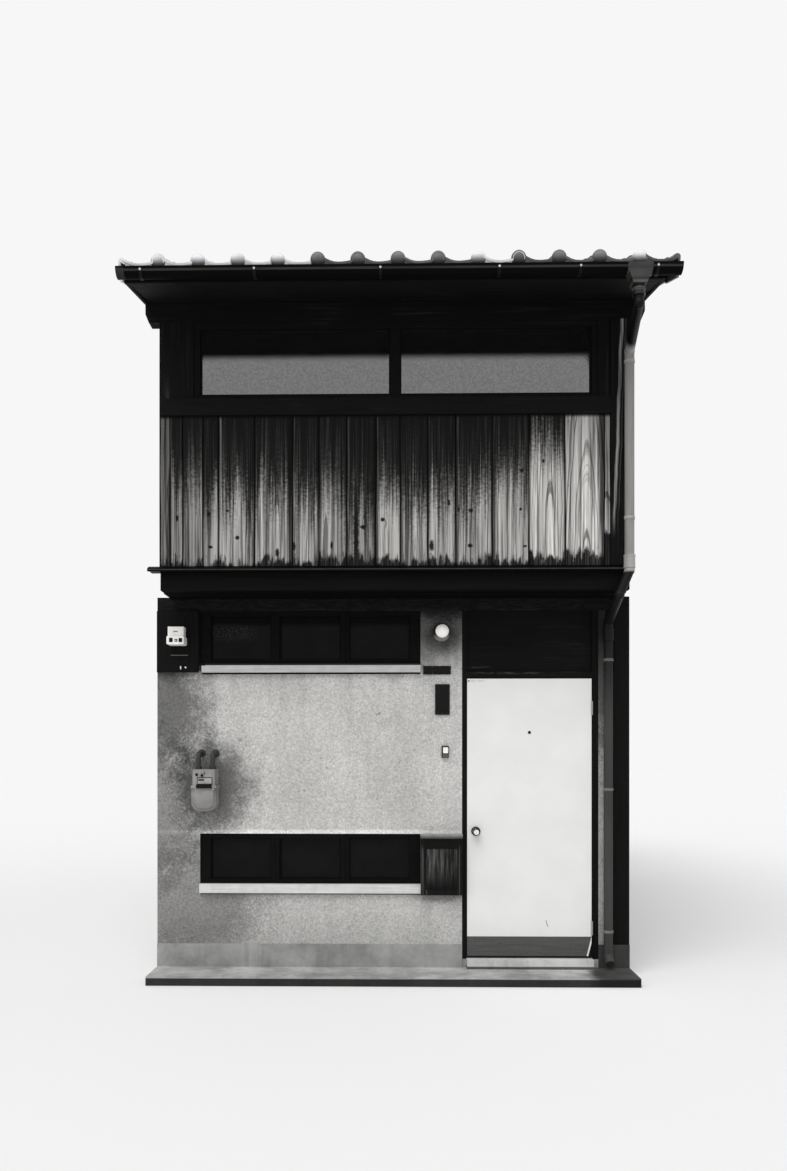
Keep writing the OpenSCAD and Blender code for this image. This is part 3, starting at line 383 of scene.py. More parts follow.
def shutter_timber(name, slats):
    """The shutter box: black, dusty along the edges of its frame. Its slats are dusty all over,
    most of all at the upper left."""
    f = Finish(name)
    x, _, z = f.xyz()
    grain = f.noise(60.0, 60.0, 2.0 if slats else 3.0, detail=4.0, rough=0.65)
    value = f.blend(f.span(grain, 0.45, 0.75), 0.005, 0.016)
    if slats:
        dust = f.noise(75.0, 75.0, 5.0, detail=4.0, rough=0.7)
        dusty = f.span(dust, 0.32, 0.68) * f.span(z, 0.63, 0.82)
        value = f.blend(dusty, value, f.span(x, 0.24, 0.38, 0.12, 0.065))
    else:
        for centre, half, light in ((0.178, 0.006, 0.055), (0.207, 0.0015, 0.07), (0.441, 0.002, 0.06)):
            line = f.near(x, centre, half, 0.004) * f.span(z, 0.96, 0.90)
            value = f.blend(line * f.span(grain, 0.3, 0.6), value, light)
    return f.done(value, 0.8, 0.001 * grain, shine=0.1)


def corner_timber():
    """The upper posts: black, with a wavering line down the right one where rain has washed the
    stain. Its middle is x = 1.357 + 0.037 z + sway, and a faint second line runs beside it."""
    f = Finish("corner_post_timber")
    x, _, z = f.xyz()
    grain = f.noise(70.0, 70.0, 1.6, detail=5.0, rough=0.65)
    thread = f.noise(230.0, 230.0, 3.5)
    sway = 0.030 * (f.noise_line(2.6 * z, detail=2.0) - 0.5)
    centre = 0.037 * z + 1.357 + sway
    wash = f.near(x, centre, 0.004, 0.011) + 0.18 * f.near(x, centre + 0.026, 0.001, 0.006)
    wash = f.product(wash, (thread, 0.35, 0.62, 0.25, 1.0), (z, 3.05, 3.35))
    value = f.blend(wash, f.blend(f.span(grain, 0.5, 0.78), BLACK_STAIN, 0.020), 0.30)
    left_edge = f.near(x, -1.588, 0.012, 0.014) * f.span(z, 4.25, 3.85)
    value = f.blend(left_edge * f.span(grain, 0.35, 0.6), value, 0.07)
    return f.done(value, 0.75, 0.0014 * grain, shine=0.08)


DUSTY_EDGES = ((2.628, 0.004, -0.85, 1.0, 0.024), (2.675, 0.040, -1.7, 1.5, 0.012))
RAIL_EDGES = ((2.172, 0.005, 0.50, 1.02, 0.045), (2.215, 0.004, 0.50, 0.64, 0.040))
upright = stained_timber("stained_timber_upright", "z")
level = stained_timber("stained_timber_level", "x")
inward = stained_timber("stained_timber_inward", "y")
sash_timber = stained_timber("sash_timber", "x", worn=0.005, stain=0.0025)
dress(upright, "door_jambs", "right_corner_post", "meter_board", "upper_front_boards")
dress(shutter_timber("shutter_box_timber", slats=False), "shutter_box")
dress(stained_timber("jetty_timber", "x", worn=0.004, stain=0.0015), "jetty_beam", "jetty_soffit")
dress(sash_timber, "lower_window_frames")
dress(level, "upper_sill_rail", "upper_window_frames", "roof_boards", "eave_boards", "roof_beams",
      "upper_floor")
dress(inward, "verge_boards", "rafters", "left_upper_wall", "right_upper_wall", "rear_upper_wall")
dress(corner_timber(), "upper_posts")
dress(stained_timber("head_beam_timber", "x", lines=DUSTY_EDGES), "head_beam")
dress(stained_timber("door_rail_timber", "x", lines=RAIL_EDGES), "door_transom")

# %% [markdown]
# ## Rough-cast plaster
# The street wall is a grey cement render thrown on as small grains. Close up each grain casts a
# shadow; from the street it reads as speckle. Painted shade darkens it under the jetty, and rain
# streaks run down from the sills. Grains are cells of a few millimetres, and the stains are noise
# stretched downwards, because water runs down. Soft spots darken it in places: painted shade under
# the meter board, around the gas meter, at the lower left, around the lamp, under the jetty and
# under the shutter box, and one spot is a painted highlight along the top of the low window's opening.

# %% Plaster
def spots(f, table, rough_edge, low, high):
    """Rows for a product: soft-edged ellipses, each (x, z, half width, half height, share left of
    the colour). The distance is |((x - x0) / half width, (z - z0) / half height)| + rough edge."""
    x, _, z = f.xyz()
    return [(f.length((x - x0) * (1 / half_x), (z - z0) * (1 / half_z)) + rough_edge, low, high, left, 1.0)
            for x0, z0, half_x, half_z, left in table]


def rough_cast(name, base, grain_size=0.006, depth=0.0016, jetty_shade=1.0, stains_and_painted_light=()):
    """Thrown render: speckle, mottling, streaks, a band of painted shade under the jetty, and local
    stains, painted shade and a painted highlight, all of them factors of one product."""
    f = Finish(name)
    z = f.xyz()[2]
    grains = f.noise(1.0 / grain_size, detail=2.0, rough=0.6)
    pits = f.noise(38.0)
    mottle = f.noise(2.1, detail=4.0, rough=0.6)
    cloud = f.noise(9.0, detail=4.0, rough=0.6)
    streak = f.noise(11.0, 11.0, 0.7)
    speckle = f.noise(72.0, rough=0.7)
    rough_edge = 0.75 * (cloud - 0.5) + 0.35 * (speckle - 0.5)
    value = f.product(
        base, (grains, 0.25, 0.75, 0.80, 1.18), (mottle, 0.25, 0.75, 0.90, 1.12),
        (streak, 0.3, 0.75, 1.03, 0.94), (speckle, 0.30, 0.70, 0.80, 1.16), (pits, 0.62, 0.78, 1.0, 0.60),
        # painted shade: the render gets darker upwards under the jetty
        (z + 0.25 * streak + 0.20 * cloud, 2.28, 2.72, 1.0, 1.0 - 0.78 * jetty_shade),
        (z - 0.35 * mottle, 0.05, 0.45, 0.80, 1.0), *spots(f, stains_and_painted_light, rough_edge, 0.40, 1.20),
    )
    return f.done(value, 0.92, depth * (grains + pits), tint=(1.01, 1.0, 0.975), shine=0.25)


# Soft spots on the street wall: painted shade under the meter board, around the gas meter, at the lower
# left, around the lamp, under the jetty and under the shutter box, and a painted highlight (the row at 1.027
# m) along the top of the low window's opening.
WALL_STAINS_AND_PAINTED_LIGHT = (
    (-1.72, 1.92, 0.42, 0.52, 0.30), (-1.70, 1.15, 0.34, 0.62, 0.50), (-1.60, 2.22, 0.30, 0.12, 0.55),
    (-1.33, 1.36, 0.34, 0.40, 0.30), (0.32, 2.42, 0.13, 0.13, 0.45), (0.28, 2.66, 0.40, 0.13, 0.12),
    (-1.50, 0.50, 0.62, 0.52, 0.48), (0.31, 0.575, 0.21, 0.055, 0.50), (-0.63, 1.027, 1.60, 0.024, 1.40),
)
# On the door's side strip: painted shade under the jetty, and a dark foot.
STRIP_STAINS_AND_SHADE = ((1.46, 2.55, 0.12, 1.25, 0.25), (1.44, 0.13, 0.30, 0.085, 0.02))
dress(rough_cast("rough_cast_render", 0.535, stains_and_painted_light=WALL_STAINS_AND_PAINTED_LIGHT), "front_wall_panels", "front_piers")
dress(rough_cast("party_wall_render", 0.40, grain_size=0.012, jetty_shade=0.3),
      "left_party_wall", "right_party_wall", "rear_lower_wall")
dress(rough_cast("strip_render", 0.36, grain_size=0.008, depth=0.0006, stains_and_painted_light=STRIP_STAINS_AND_SHADE),
      "door_side_strip")

# %% [markdown]
# ## Concrete and mortar
# The skirting is a smooth band of mortar, darker than the render because it is denser and wetter.
# The apron and the step are float-finished concrete. Both need broad stains, a fine sand grain and
# darker edges, painted shade on the apron's front face, but no grains that cast shadows.

# %% Concrete
def concrete(name, base, stain=0.35, shaded_below=None, dark_foot=None):
    """Floated concrete with broad stains and a sand grain. A curb may be darker below a height, painted
    shade on its front face, and darker past the door; a step may have a dark foot and right end."""
    f = Finish(name)
    x, _, z = f.xyz()
    sand = f.noise(240.0, detail=2.0)
    cloud = f.noise(3.0, detail=5.0, rough=0.65)
    drip = f.noise(16.0, 16.0, 1.5)
    rows = [(cloud, 0.3, 0.72, 1.0 + stain / 2, 1.0 - stain), (sand, 0.3, 0.7, 0.92, 1.07),
            (drip, 0.5, 0.8, 1.0, 0.78)]
    if shaded_below:
        # painted shade below this height: the apron's front face and the skirting's foot; past the door it
        # is darker too
        rows += [(z + 0.010 * cloud, shaded_below - 0.006, shaded_below, 0.055, 1.0),
                 (x + 0.25 * cloud, 1.42, 1.55, 1.0, 0.12)]
    if dark_foot:
        rows += [(x, 1.401, 1.405, 1.0, 0.10), (z + 0.008 * cloud, dark_foot, dark_foot + 0.006, 0.16, 1.0)]
    return f.done(f.product(base, *rows), 0.85, 0.0006 * sand, tint=(1.0, 1.0, 0.98), shine=0.3)


dress(concrete("mortar_skirting", 0.33, shaded_below=0.010), "base_skirting")
dress(concrete("apron_concrete", 0.42, stain=0.45, shaded_below=0.060), "front_apron")
dress(concrete("floor_concrete", 0.34, stain=0.4), "ground_slab")
dress(concrete("step_concrete", 0.60, stain=0.25, dark_foot=0.080), "door_step")

# %% [markdown]
# ## Weathered boards
# Under the upper windows stand broad cedar boards. The stain is still black under the sill rail and
# has washed out lower down, where the wood has gone silver. A sawn board shows the log's rings as
# long lines, or as pointed arches where the saw ran close to the heart. Both come from one formula:
# each point knows how far it is from the log's heart, across and in depth, and that distance runs
# through a noise along one number. The arrays carry those two distances for each board.

# %% Board finish
def weathered_wood(name, silver=0.48, black=0.0038, knots=(), top=None):
    """Reads the attributes grain (across, depth, seed), board (tone, fade height, height), across
    and rot. Each of knots is a spot; top is the height where a rail shades the boards.
    rings = noise(74 (|(across, depth)| + wander) + 31 seed), and wood shows where
    fade + noise - height is above 0."""
    f = Finish(name)
    across, depth, seed = f.parts(f.own("grain"))
    tone, fade, height = f.parts(f.own("board"))
    side = f.own("across", "Fac")
    p = f.whole(across, height, seed)
    wander = f.noise(7.0, 1.6, 1.0, at=p, detail=2.0)
    knot = f.node("TexVoronoi", f.stretched(p, (6.0, 2.4, 1.0)), named={"Scale": 1.0})
    reach = f.length(across, depth) + 0.035 * wander + f.span(knot, 0.0, 0.16, 0.016, 0.0)
    rings = f.noise_line(74.0 * reach + 31.0 * seed, detail=4.0, rough=0.6)
    fibre = f.noise(260.0, 4.0, 1.0, at=p, detail=2.0)
    runs = f.noise(24.0, 0.55, 1.0, at=p, detail=4.0, rough=0.6)
    thread = f.noise(105.0, 1.4, 1.0, at=p)
    crack = f.noise(62.0, 0.9, 1.0, at=p, detail=4.0, rough=0.65)
    speck = f.noise(46.0, 62.0, 1.0, at=p, detail=2.0)
    reached = fade + 0.55 * (runs - 0.5) + 0.70 * (thread - 0.5) + 0.36 * (speck - 0.5)
    reached = reached + 0.10 * (rings - 0.5) - height
    worn = f.span(reached, -0.32, 0.25)
    haze = f.span(reached, -0.60, 0.05) * f.span(thread, 0.42, 0.66)
    rot = 0.30 * (f.noise(30.0, 7.0, 1.0, at=p, detail=4.0, rough=0.6) - 0.46) + f.own("rot", "Fac")
    foot = f.span(height - rot, -0.010, 0.050)
    wood = f.product(
        silver * tone, (rings, 0.34, 0.47, 0.34, 1.0), (fibre, 0.25, 0.75, 0.74, 1.16),
        (runs, 0.3, 0.7, 0.62, 1.22), (crack, 0.38, 0.52, 0.30, 1.0), (height, 0.45, 1.05, 1.0, 0.62),
        (knot, 0.03, 0.075, 0.04, 1.0), *spots(f, knots, 1.1 * (speck - 0.5), 0.65, 1.45),
    )
    old = f.span(thread, 0.54, 0.80) * f.span(runs, 0.40, 0.65, 0.002, 0.022)
    old = old + black + haze * (0.032 * tone)
    value = f.blend(worn * worn * foot, old, wood)
    lean = 0.9 * (f.noise_line(3.7 * seed) - 0.5)
    edge = abs(side + lean) + 0.34 * (thread - 0.5)
    value = f.product(value, (edge, 0.84, 1.02, 1.0, 0.12))
    left_line = f.product(0.6 * f.near(side, -0.90, 0.03, 0.05), (runs, 0.42, 0.58),
                          (f.noise_line(5.3 * seed), 0.46, 0.56, 0.15, 1.0))
    value = f.blend(left_line * foot, value, 0.17 * tone)
    if top:
        value = f.product(value, (height, top - 0.030, top - 0.004, 1.0, 0.06))
    return f.done(value, 0.85, 0.0012 * rings + 0.0005 * fibre, shine=0.15)


FRONT_KNOTS = [(*place, 0.03) for place in (
    (-0.285, 3.150, 0.017, 0.480), (-1.294, 3.239, 0.012, 0.012), (-1.283, 3.012, 0.015, 0.011),
    (-1.100, 3.076, 0.014, 0.013), (-1.167, 3.261, 0.009, 0.009), (-0.187, 3.419, 0.030, 0.042),
    (-0.182, 3.512, 0.013, 0.014), (-0.237, 3.146, 0.017, 0.014), (-0.103, 3.195, 0.012, 0.013),
    (-0.825, 2.972, 0.012, 0.026), (-0.711, 3.015, 0.013, 0.028), (-0.452, 3.021, 0.009, 0.024),
    (-1.514, 3.212, 0.009, 0.022), (0.349, 3.310, 0.009, 0.024), (0.501, 3.256, 0.015, 0.012),
    (0.494, 3.016, 0.016, 0.013), (0.839, 3.262, 0.009, 0.009), (0.845, 3.526, 0.013, 0.014),
    (0.992, 3.591, 0.009, 0.010), (0.868, 3.010, 0.014, 0.007), (0.232, 3.016, 0.016, 0.034),
)]
weathered = weathered_wood("weathered_boards", knots=FRONT_KNOTS, top=1.031)
side_weathered = weathered_wood("side_boards", silver=0.30)
print(len(FRONT_KNOTS), "knots on the front")

# %% [markdown]
# Each board is a tube that runs upwards: seven points across its front, which is slightly cupped,
# and two at its back. Its edges wander by a millimetre or two, since old boards shrink unevenly.

# %% Board maker
ACROSS = np.array([0.0, 0.012, 0.2, 0.5, 0.8, 0.988, 1.0, 1.0, 0.0])
CUPPED = np.array([-0.0022, 0.0, -0.0008, -0.0012, -0.0008, 0.0, -0.0022, 0.0, 0.0])
AT_BACK = np.arange(9) > 6
THICK = 0.011
WANDER = 0.0016


def boards(left, right, foot, head, place, rng, tone, fade, heart=None, rot=None, rows=14):
    """Rings and attributes of upright boards between edges left and right, from foot up to head(u).
    place(u, out, z) puts a point on the wall; heart rows are (across, depth at foot, depth gained a
    metre); rot is how far each board has stayed dark above its foot. An edge wanders by
    0.0016 (sin(f1 t + a) + 0.6 sin(f2 t + b)), t being the height from 0 to 1."""
    n = len(left)
    if heart is None:
        limits = ((-0.09, 0.09), (0.03, 0.12), (-0.03, 0.03))
        heart = np.stack([rng.uniform(low, high, n) for low, high in limits], -1)
    t = np.linspace(0, 1, rows)
    phase = rng.uniform(0, 2 * np.pi, (n, 4, 1))
    slow = np.sin(np.array([[5.2], [4.6]]) * t + phase[:, ::2])
    fast = np.sin(np.array([[13.0], [11.0]]) * t + phase[:, 1::2])
    shift = WANDER * (slow + 0.6 * fast)
    lo = left[:, None, None] + shift[:, 0, :, None]
    hi = right[:, None, None] + shift[:, 1, :, None]
    u = lo + (hi - lo) * ACROSS
    lift = rng.uniform(-0.0012, 0.0012, (n, 1, 1))
    z = foot + t[None, :, None] * (head(u) - foot)
    rings = place(u, np.where(AT_BACK, -THICK, CUPPED + lift) + 0 * u, z)
    seed = rng.uniform(0, 40, n)
    per_board = (left + right) / 2, *heart.T, seed, tone, fade
    mid, heart_x, heart_y, lean, seed, tone, fade = (a[:, None, None] + 0 * u for a in per_board)
    rot = np.zeros(n) if rot is None else rot
    values = {
        "grain": np.stack([u - mid - heart_x, heart_y + lean * (z - foot), seed], -1).reshape(-1, 3),
        "board": np.stack([tone, fade, z - foot], -1).reshape(-1, 3),
        "across": (2 * ACROSS - 1 + 0 * u).ravel(),
        "rot": (rot[:, None, None] + 0 * u).ravel(),
    }
    return rings, values


def put_boards(name, sets, material):
    """One piece of several sets of boards, each (rings, attributes)."""
    values = {key: np.concatenate([of_set[key] for _, of_set in sets]) for key in sets[0][1]}
    put(name, [rings for rings, _ in sets], material, values=values)


# %% [markdown]
# The front panel follows the photograph board by board: widths from the solid model's grooves, how
# silver each has gone, how high the washed part reaches, and where the arches stand.

# %% Front boards
BOARD_MM = [68, 86, 140, 106, 250, 260, 181, 192, 198, 165, 188, 191, 250, 250, 247, 266]
FRONT_TONE = np.array([
    0.37, 0.60, 0.78, 0.78, 1.12, 0.95, 0.92, 0.92, 0.60, 0.92, 0.92, 0.94, 0.94, 1.06, 1.38, 1.48, 1.05,
])
FRONT_FADE = np.array([
    1.70, 0.56, 0.62, 0.48, 0.50, 0.52, 0.50, 0.50, 0.40, 0.48, 0.46, 0.46, 0.50, 0.60, 0.82, 1.80, 1.60,
])
FRONT_ROT = np.array([
    0.00, 0.00, 0.00, -0.02, -0.01, 0.02, 0.01, 0.03, 0.03, 0.01, 0.00, 0.01, 0.01, 0.01, 0.03, 0.06, 0.20,
])
FRONT_HEART = np.array([
    [0.05, 0.09, 0.01], [0.09, 0.06, 0.01], [-0.07, 0.05, 0.02], [0.00, 0.09, 0.02], [0.08, 0.04, 0.02],
    [0.02, 0.005, 0.06], [0.07, 0.05, 0.03], [-0.05, 0.03, 0.02], [0.02, 0.02, 0.05], [0.07, 0.05, 0.02],
    [0.01, 0.01, 0.05], [-0.06, 0.05, 0.01], [0.05, 0.03, 0.03], [0.08, 0.06, 0.02], [0.02, 0.002, 0.07],
    [0.01, 0.004, 0.10], [0.00, 0.08, 0.02],
])
GAP = 0.0035
PROUD = 0.006
front_low, front_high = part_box("upper_front_boards")
lefts = front_low.x + np.concatenate([[0], np.cumsum(BOARD_MM)]) / 1000.0
rights = np.concatenate([lefts[1:], [front_high.x]])
rng = np.random.default_rng(11)


def on_front(u, out, z):
    """The upper street wall: u is across, out is towards the street."""
    return np.stack([u, front_low.y - PROUD - out, z], -1)


put_boards("front_boards", [boards(
    lefts + GAP, rights - GAP, front_low.z + 0.001, lambda u: front_high.z - 0.001 + 0 * u, on_front, rng,
    FRONT_TONE, FRONT_FADE, heart=FRONT_HEART, rot=FRONT_ROT, rows=22,
)], weathered)

# %% [markdown]
# Nails hold each board near both edges to three rails behind. They are low eight-sided heads,
# because a hundred of them have to stay cheap.

# %% Nails
NAIL_ROWS = (2.955, 3.425, 3.862)
NAIL_INSET = 0.022


def nail_heads(x, z, y, radius=0.0035, height=0.0015):
    """Low round heads that stand out towards the street at the points (x, y, z)."""
    angle = np.linspace(0, 2 * np.pi, 8, endpoint=False)
    size = np.array([1.0, 0.6])[:, None] * radius
    x, z = x[:, None, None], z[:, None, None]
    return ring_points(x + size * np.cos(angle), y - np.array([[0.0], [height]]), z + size * np.sin(angle))


rust = Finish("rusted_iron")
rust_grey = rust.span(rust.noise(900.0), 0.3, 0.7, 0.010, 0.035)
nail_x = np.tile(np.concatenate([lefts[:-1] + NAIL_INSET, rights[:-1] - NAIL_INSET]), 3)
nail_z = np.repeat(NAIL_ROWS, len(nail_x) // 3) + rng.uniform(-0.006, 0.006, len(nail_x))
put("board_nails", [nail_heads(nail_x, nail_z, front_low.y - PROUD + 0.0012)],
    rust.done(rust_grey, 0.8, tint=(1.25, 1.0, 0.8), shine=0.3))

# %% [markdown]
# ## Side and rear boards
# The unseen sides repeat the boards, as such houses do: upright boards from the wall's foot to the
# roof's edge. On a gable the top of each board follows the slope, so the head is a function of u.

# %% Side boards
SLOPE = 0.4
OFF_WALL = 0.008
ridge_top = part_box("roof_boards")[1].z
wall_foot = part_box("left_upper_wall")[0].z
side_walls = ((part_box("left_upper_wall")[0].x, -1), (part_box("right_upper_wall")[1].x, 1))
rear_low, rear_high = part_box("rear_upper_wall")


def gable_head(u):
    """Just under the roof boards at a distance |u| from the ridge line."""
    return ridge_top - 0.024 - SLOPE * np.abs(u)


def spread_boards(start, stop, width):
    """Left and right edges of boards of nearly one width between start and stop."""
    count = int(round((stop - start) / width))
    share = rng.uniform(0.85, 1.15, count)
    cuts = start + np.concatenate([[0], np.cumsum(share / share.sum())]) * (stop - start)
    return cuts[:-1] + GAP / 2, cuts[1:] - GAP / 2


gable_sets = []
for wall_x, sign in side_walls:
    lo, hi = spread_boards(-3.548, 3.548, 0.21)
    gable_sets.append(boards(
        lo, hi, wall_foot, gable_head,
        lambda u, out, z: np.stack([wall_x + sign * (OFF_WALL + out), u, z], -1), rng,
        rng.uniform(0.35, 0.75, len(lo)), rng.uniform(0.35, 1.1, len(lo)), rows=8,
    ))
put_boards("gable_boards", gable_sets, side_weathered)

REAR_HALF = 0.405
WINDOW_LOW, WINDOW_HIGH = 3.55, 4.45
rear_sets = []
for start, stop, low, high in (
    (rear_low.x, -REAR_HALF, rear_low.z, rear_high.z), (REAR_HALF, rear_high.x, rear_low.z, rear_high.z),
    (-REAR_HALF, REAR_HALF, rear_low.z, WINDOW_LOW), (-REAR_HALF, REAR_HALF, WINDOW_HIGH, rear_high.z),
):
    lo, hi = spread_boards(start, stop, 0.2)
    rear_sets.append(boards(
        lo, hi, low, lambda u: high + 0 * u,
        lambda u, out, z: np.stack([u, rear_high.y + OFF_WALL + out, z], -1), rng,
        rng.uniform(0.35, 0.8, len(lo)), rng.uniform(0.3, 0.9, len(lo)), rows=6,
    ))
put_boards("rear_boards", rear_sets, side_weathered)

# %% [markdown]
# ## Smoked clay tiles
# The roof is laid with S-shaped pantiles: a wide shallow pan with a round roll at its right side,
# fired in smoke to a dull silver grey. They lie in courses, each over the one below, so every lower
# end casts a thin shadow. One profile function gives the wave, and an array of shifts lays the
# courses. Each tile has its own tone, since they fire unevenly.

# %% Tile finish
tile = Finish("smoked_clay")
cloud = tile.noise(7.0, detail=4.0)
pores = tile.noise(160.0, detail=2.0)
lichen = tile.span(tile.noise(26.0, detail=4.0, rough=0.7), 0.60, 0.72)
fired = tile.product(tile.own("tone", "Fac"), (cloud, 0.3, 0.7, 0.82, 1.18), (pores, 0.3, 0.7, 0.92, 1.06))
fired = tile.math("MINIMUM", tile.blend(0.35 * lichen, fired, 1.5 * fired + 0.06), 0.94)
tile_clay = tile.done(fired, tile.span(cloud, 0.3, 0.7, 0.42, 0.62), 0.0005 * pores,
                      tint=(0.99, 1.0, 1.015), shine=0.4)
print(tile_clay.name, "has", len(tile.tree.nodes), "shader nodes")

# %% [markdown]
# The profile: the pan lies 56 mm over the boards and rises on both sides, more steeply on the left
# where the neighbour's roll covers it; the roll is a circle of 38 mm about a point 67 mm up. Points
# a thickness further in make the underside, and the two together close the ring of one tile.

# %% Tile profile
COLUMNS, COURSES = 14, 19
PITCH = 0.25
HALF = COLUMNS * PITCH / 2
PAN_H, RIGHT_RISE, LEFT_RISE, PAN_HALF = 0.056, 0.009, 0.026, 0.084
ROLL_R, ROLL_H = 0.038, 0.067
CLAY, LAP = 0.014, 0.045
COS, SIN = math.cos(math.atan(SLOPE)), math.sin(math.atan(SLOPE))
EAVE_S = 4.148 / COS
EXPOSED = (EAVE_S - 0.03) / COURSES
pan_x = -HALF + PITCH * (np.arange(COLUMNS) + 0.5)
print(COURSES, "courses that each show", round(EXPOSED, 3), "m")


def pan(u):
    """Height of the pan at u from its middle: h = low + rise (u / half width)^2 on each side."""
    rise = np.where(u > 0, RIGHT_RISE, LEFT_RISE) * (u / PAN_HALF) ** 2
    return PAN_H + np.minimum(rise, 0.034)


def pan_face(u, inset=0.0):
    return np.stack([u, pan(u) - inset], -1)


def pan_roll_ring():
    """Closed outline of a tile as (across, height) about the pan's middle: top, then underside."""
    angle = np.radians(np.linspace(190, -12, 9))

    def face(inset):
        radius = ROLL_R - inset
        roll = np.stack([PITCH / 2 + radius * np.cos(angle), ROLL_H + radius * np.sin(angle)], -1)
        return np.concatenate([pan_face(np.linspace(-0.102, PAN_HALF, 8), inset), roll])

    return np.concatenate([face(0.0), face(CLAY)[::-1]])


def plain_ring():
    """The last tile of a course, a pan without its roll."""
    u = np.linspace(-0.102, 0.102, 8)
    return np.concatenate([pan_face(u), pan_face(u, CLAY)[::-1]])


def verge_ring(hand):
    """Edge tile: a small roll over the roof's edge with a flange hanging down the gable."""
    r, height, flange, foot = 0.022, 0.068, 0.014, -0.048
    angle = np.radians(np.linspace(200, 0, 8))
    outer = np.stack([HALF - r + r * np.cos(angle), height + r * np.sin(angle)], -1)
    rest = [[HALF, foot], [HALF - flange, foot], [HALF - flange, height - 0.004], [HALF - 0.036, 0.050]]
    return np.concatenate([outer, rest]) * (hand, 1)


def on_roof(x, s, h, side):
    """x across, s down the slope from the ridge line, h out from the boards; side -1 is the street.
    y = side (s cos + h sin), z = ridge - s sin + h cos."""
    return ring_points(x, side * (s * COS + h * SIN), ridge_top - s * SIN + h * COS)


def lay(ring, x, s_low, side, tilt=0.019, drop=0.012):
    """Tiles of one outline at places x with lower ends at s_low: each lies a little flatter than
    the roof, h = outline - drop + tilt t, t being 0 at its head and 1 at its lower end."""
    n = len(x)
    t = np.array([0.0, 1.0])[None, :, None]
    wobble = rng.uniform(-0.0015, 0.0015, (n, 1, 1))
    slip = rng.uniform(-0.003, 0.003, (n, 1, 1))
    s = s_low[:, None, None] - (EXPOSED + LAP) * (1 - t) + slip
    sunk = 0.006 + 0.007 * (s_low < EAVE_S - 0.1)[:, None, None]
    h = ring[:, 1] - drop + tilt * t + wobble - sunk
    return on_roof(x[:, None, None] + ring[:, 0], s, h, side)


# %% [markdown]
# One slope is 19 courses of 13 rolled tiles, one plain tile and two edge tiles. On the street side
# some pans are pale: newer tiles with the sky's sheen painted into their colour, whitest at the
# eave and greyer in the two courses above.

# %% Roof slopes
LIGHT, DARK = 0.93, 0.15
SHEEN_BY_COURSE = np.array([1.0, 0.62, 0.36])
PALE_PANS = np.array([1, 1, 1, 1, 1, 0, 0, 0, 0, 1, 0, 0, 0, 0], bool)


def slope_tiles(side):
    """The batches of one slope and the tone of each of their points."""
    rows = np.arange(COURSES)[::-1]
    column, row = (a.ravel() for a in np.meshgrid(np.arange(COLUMNS - 1), rows))
    kinds = [(pan_roll_ring(), pan_x[column], column, row)]
    last = COLUMNS - 1
    edges = ((plain_ring(), pan_x[-1], last), (verge_ring(-1), 0.0, 0), (verge_ring(1), 0.0, last))
    for ring, x, column in edges:
        kinds.append((ring, np.full(COURSES, x), np.full(COURSES, column), rows))
    batches = [lay(ring, x, EAVE_S - EXPOSED * row, side) for ring, x, _, row in kinds]
    tones = []
    for batch, (_, _, column, row) in zip(batches, kinds):
        old = rng.normal(DARK, 0.028, len(row)).clip(0.09, 0.30)
        # painted sky sheen on the pale newer tiles, weaker in the courses above the eave
        sheen_tone = LIGHT * SHEEN_BY_COURSE[np.minimum(row, 2)] * rng.uniform(0.85, 1.0, len(row))
        newer_with_painted_sheen = (row < 3) & PALE_PANS[column] & (side < 0)
        tone = np.where(newer_with_painted_sheen, np.where(row < 1, LIGHT, sheen_tone), old)
        tones.append(np.repeat(tone, batch[0].size // 3))
    return batches, np.concatenate(tones)


for side, name, replaced in ((-1, "street_roof_tiles", ("roof_tiles",)), (1, "rear_roof_tiles", ())):
    batches, tones = slope_tiles(side)
    put(name, batches, tile_clay, values={"tone": tones}, replaces=replaced)

# %% [markdown]
# ## Eave tiles
# The lowest course ends in a lip that hides the boards' edge, and under each roll in a round plain
# end like a bun. The bun is a turned shape about the roll's axis: a flat back, a rounded rim and a
# slightly domed face. Some in the photograph are pale, newer tiles among the old, their sky sheen
# painted into their colour, and every bun is painted darker from its middle down as shade.

# %% Eave ends
BUN_R, BUN_H = 0.047, 0.069
BUN = np.array([[0.0, 0.030], [0.0, 0.044], [0.004, 0.047], [0.014, 0.047], [0.019, 0.044], [0.0185, 0.039],
                [0.0215, 0.034], [0.0235, 0.026], [0.0248, 0.017], [0.0254, 0.009], [0.0255, 0.002]])
BUN_ANGLE = np.linspace(0, 2 * np.pi, 32, endpoint=False)
BACK_S = EAVE_S - 0.020
PALE_ROLLS = np.array([1, 1, 1, 1, 0, 0, 0, 0, 1, 0, 0, 0, 1], bool)
bun_along, bun_radius = BUN.T[..., None]


def eave_lips(side):
    """A hanging lip under each pan: the wave above, a shallow curve below, 16 mm deep."""
    u = np.linspace(-PAN_HALF, PAN_HALF, 9)
    low = np.stack([u, 0.032 + 0.004 * (u / PAN_HALF) ** 2], -1)
    ring = np.concatenate([pan_face(u, 0.002), low[::-1]])
    s = np.array([[BACK_S], [EAVE_S - 0.004]])
    return on_roof(pan_x[:, None, None] + ring[:, 0], s, ring[:, 1], side)


def bun_ends(side):
    """Round ends about the rolls' axis; each row of BUN is (distance beyond the back, radius)."""
    x = -HALF + PITCH * np.arange(1, COLUMNS)[:, None, None] + bun_radius * np.cos(BUN_ANGLE)
    return on_roof(x, BACK_S + bun_along, BUN_H + bun_radius * np.sin(BUN_ANGLE), side)


def bun_painted_shade():
    """Share of the tone over a bun: painted shade darkens it from its middle down, t^2 (3 - 2t) with t
    from height."""
    t = np.clip((bun_radius / BUN_R * np.sin(BUN_ANGLE) + 0.50) / 1.25, 0, 1)
    return 0.06 + 0.94 * t * t * (3 - 2 * t)


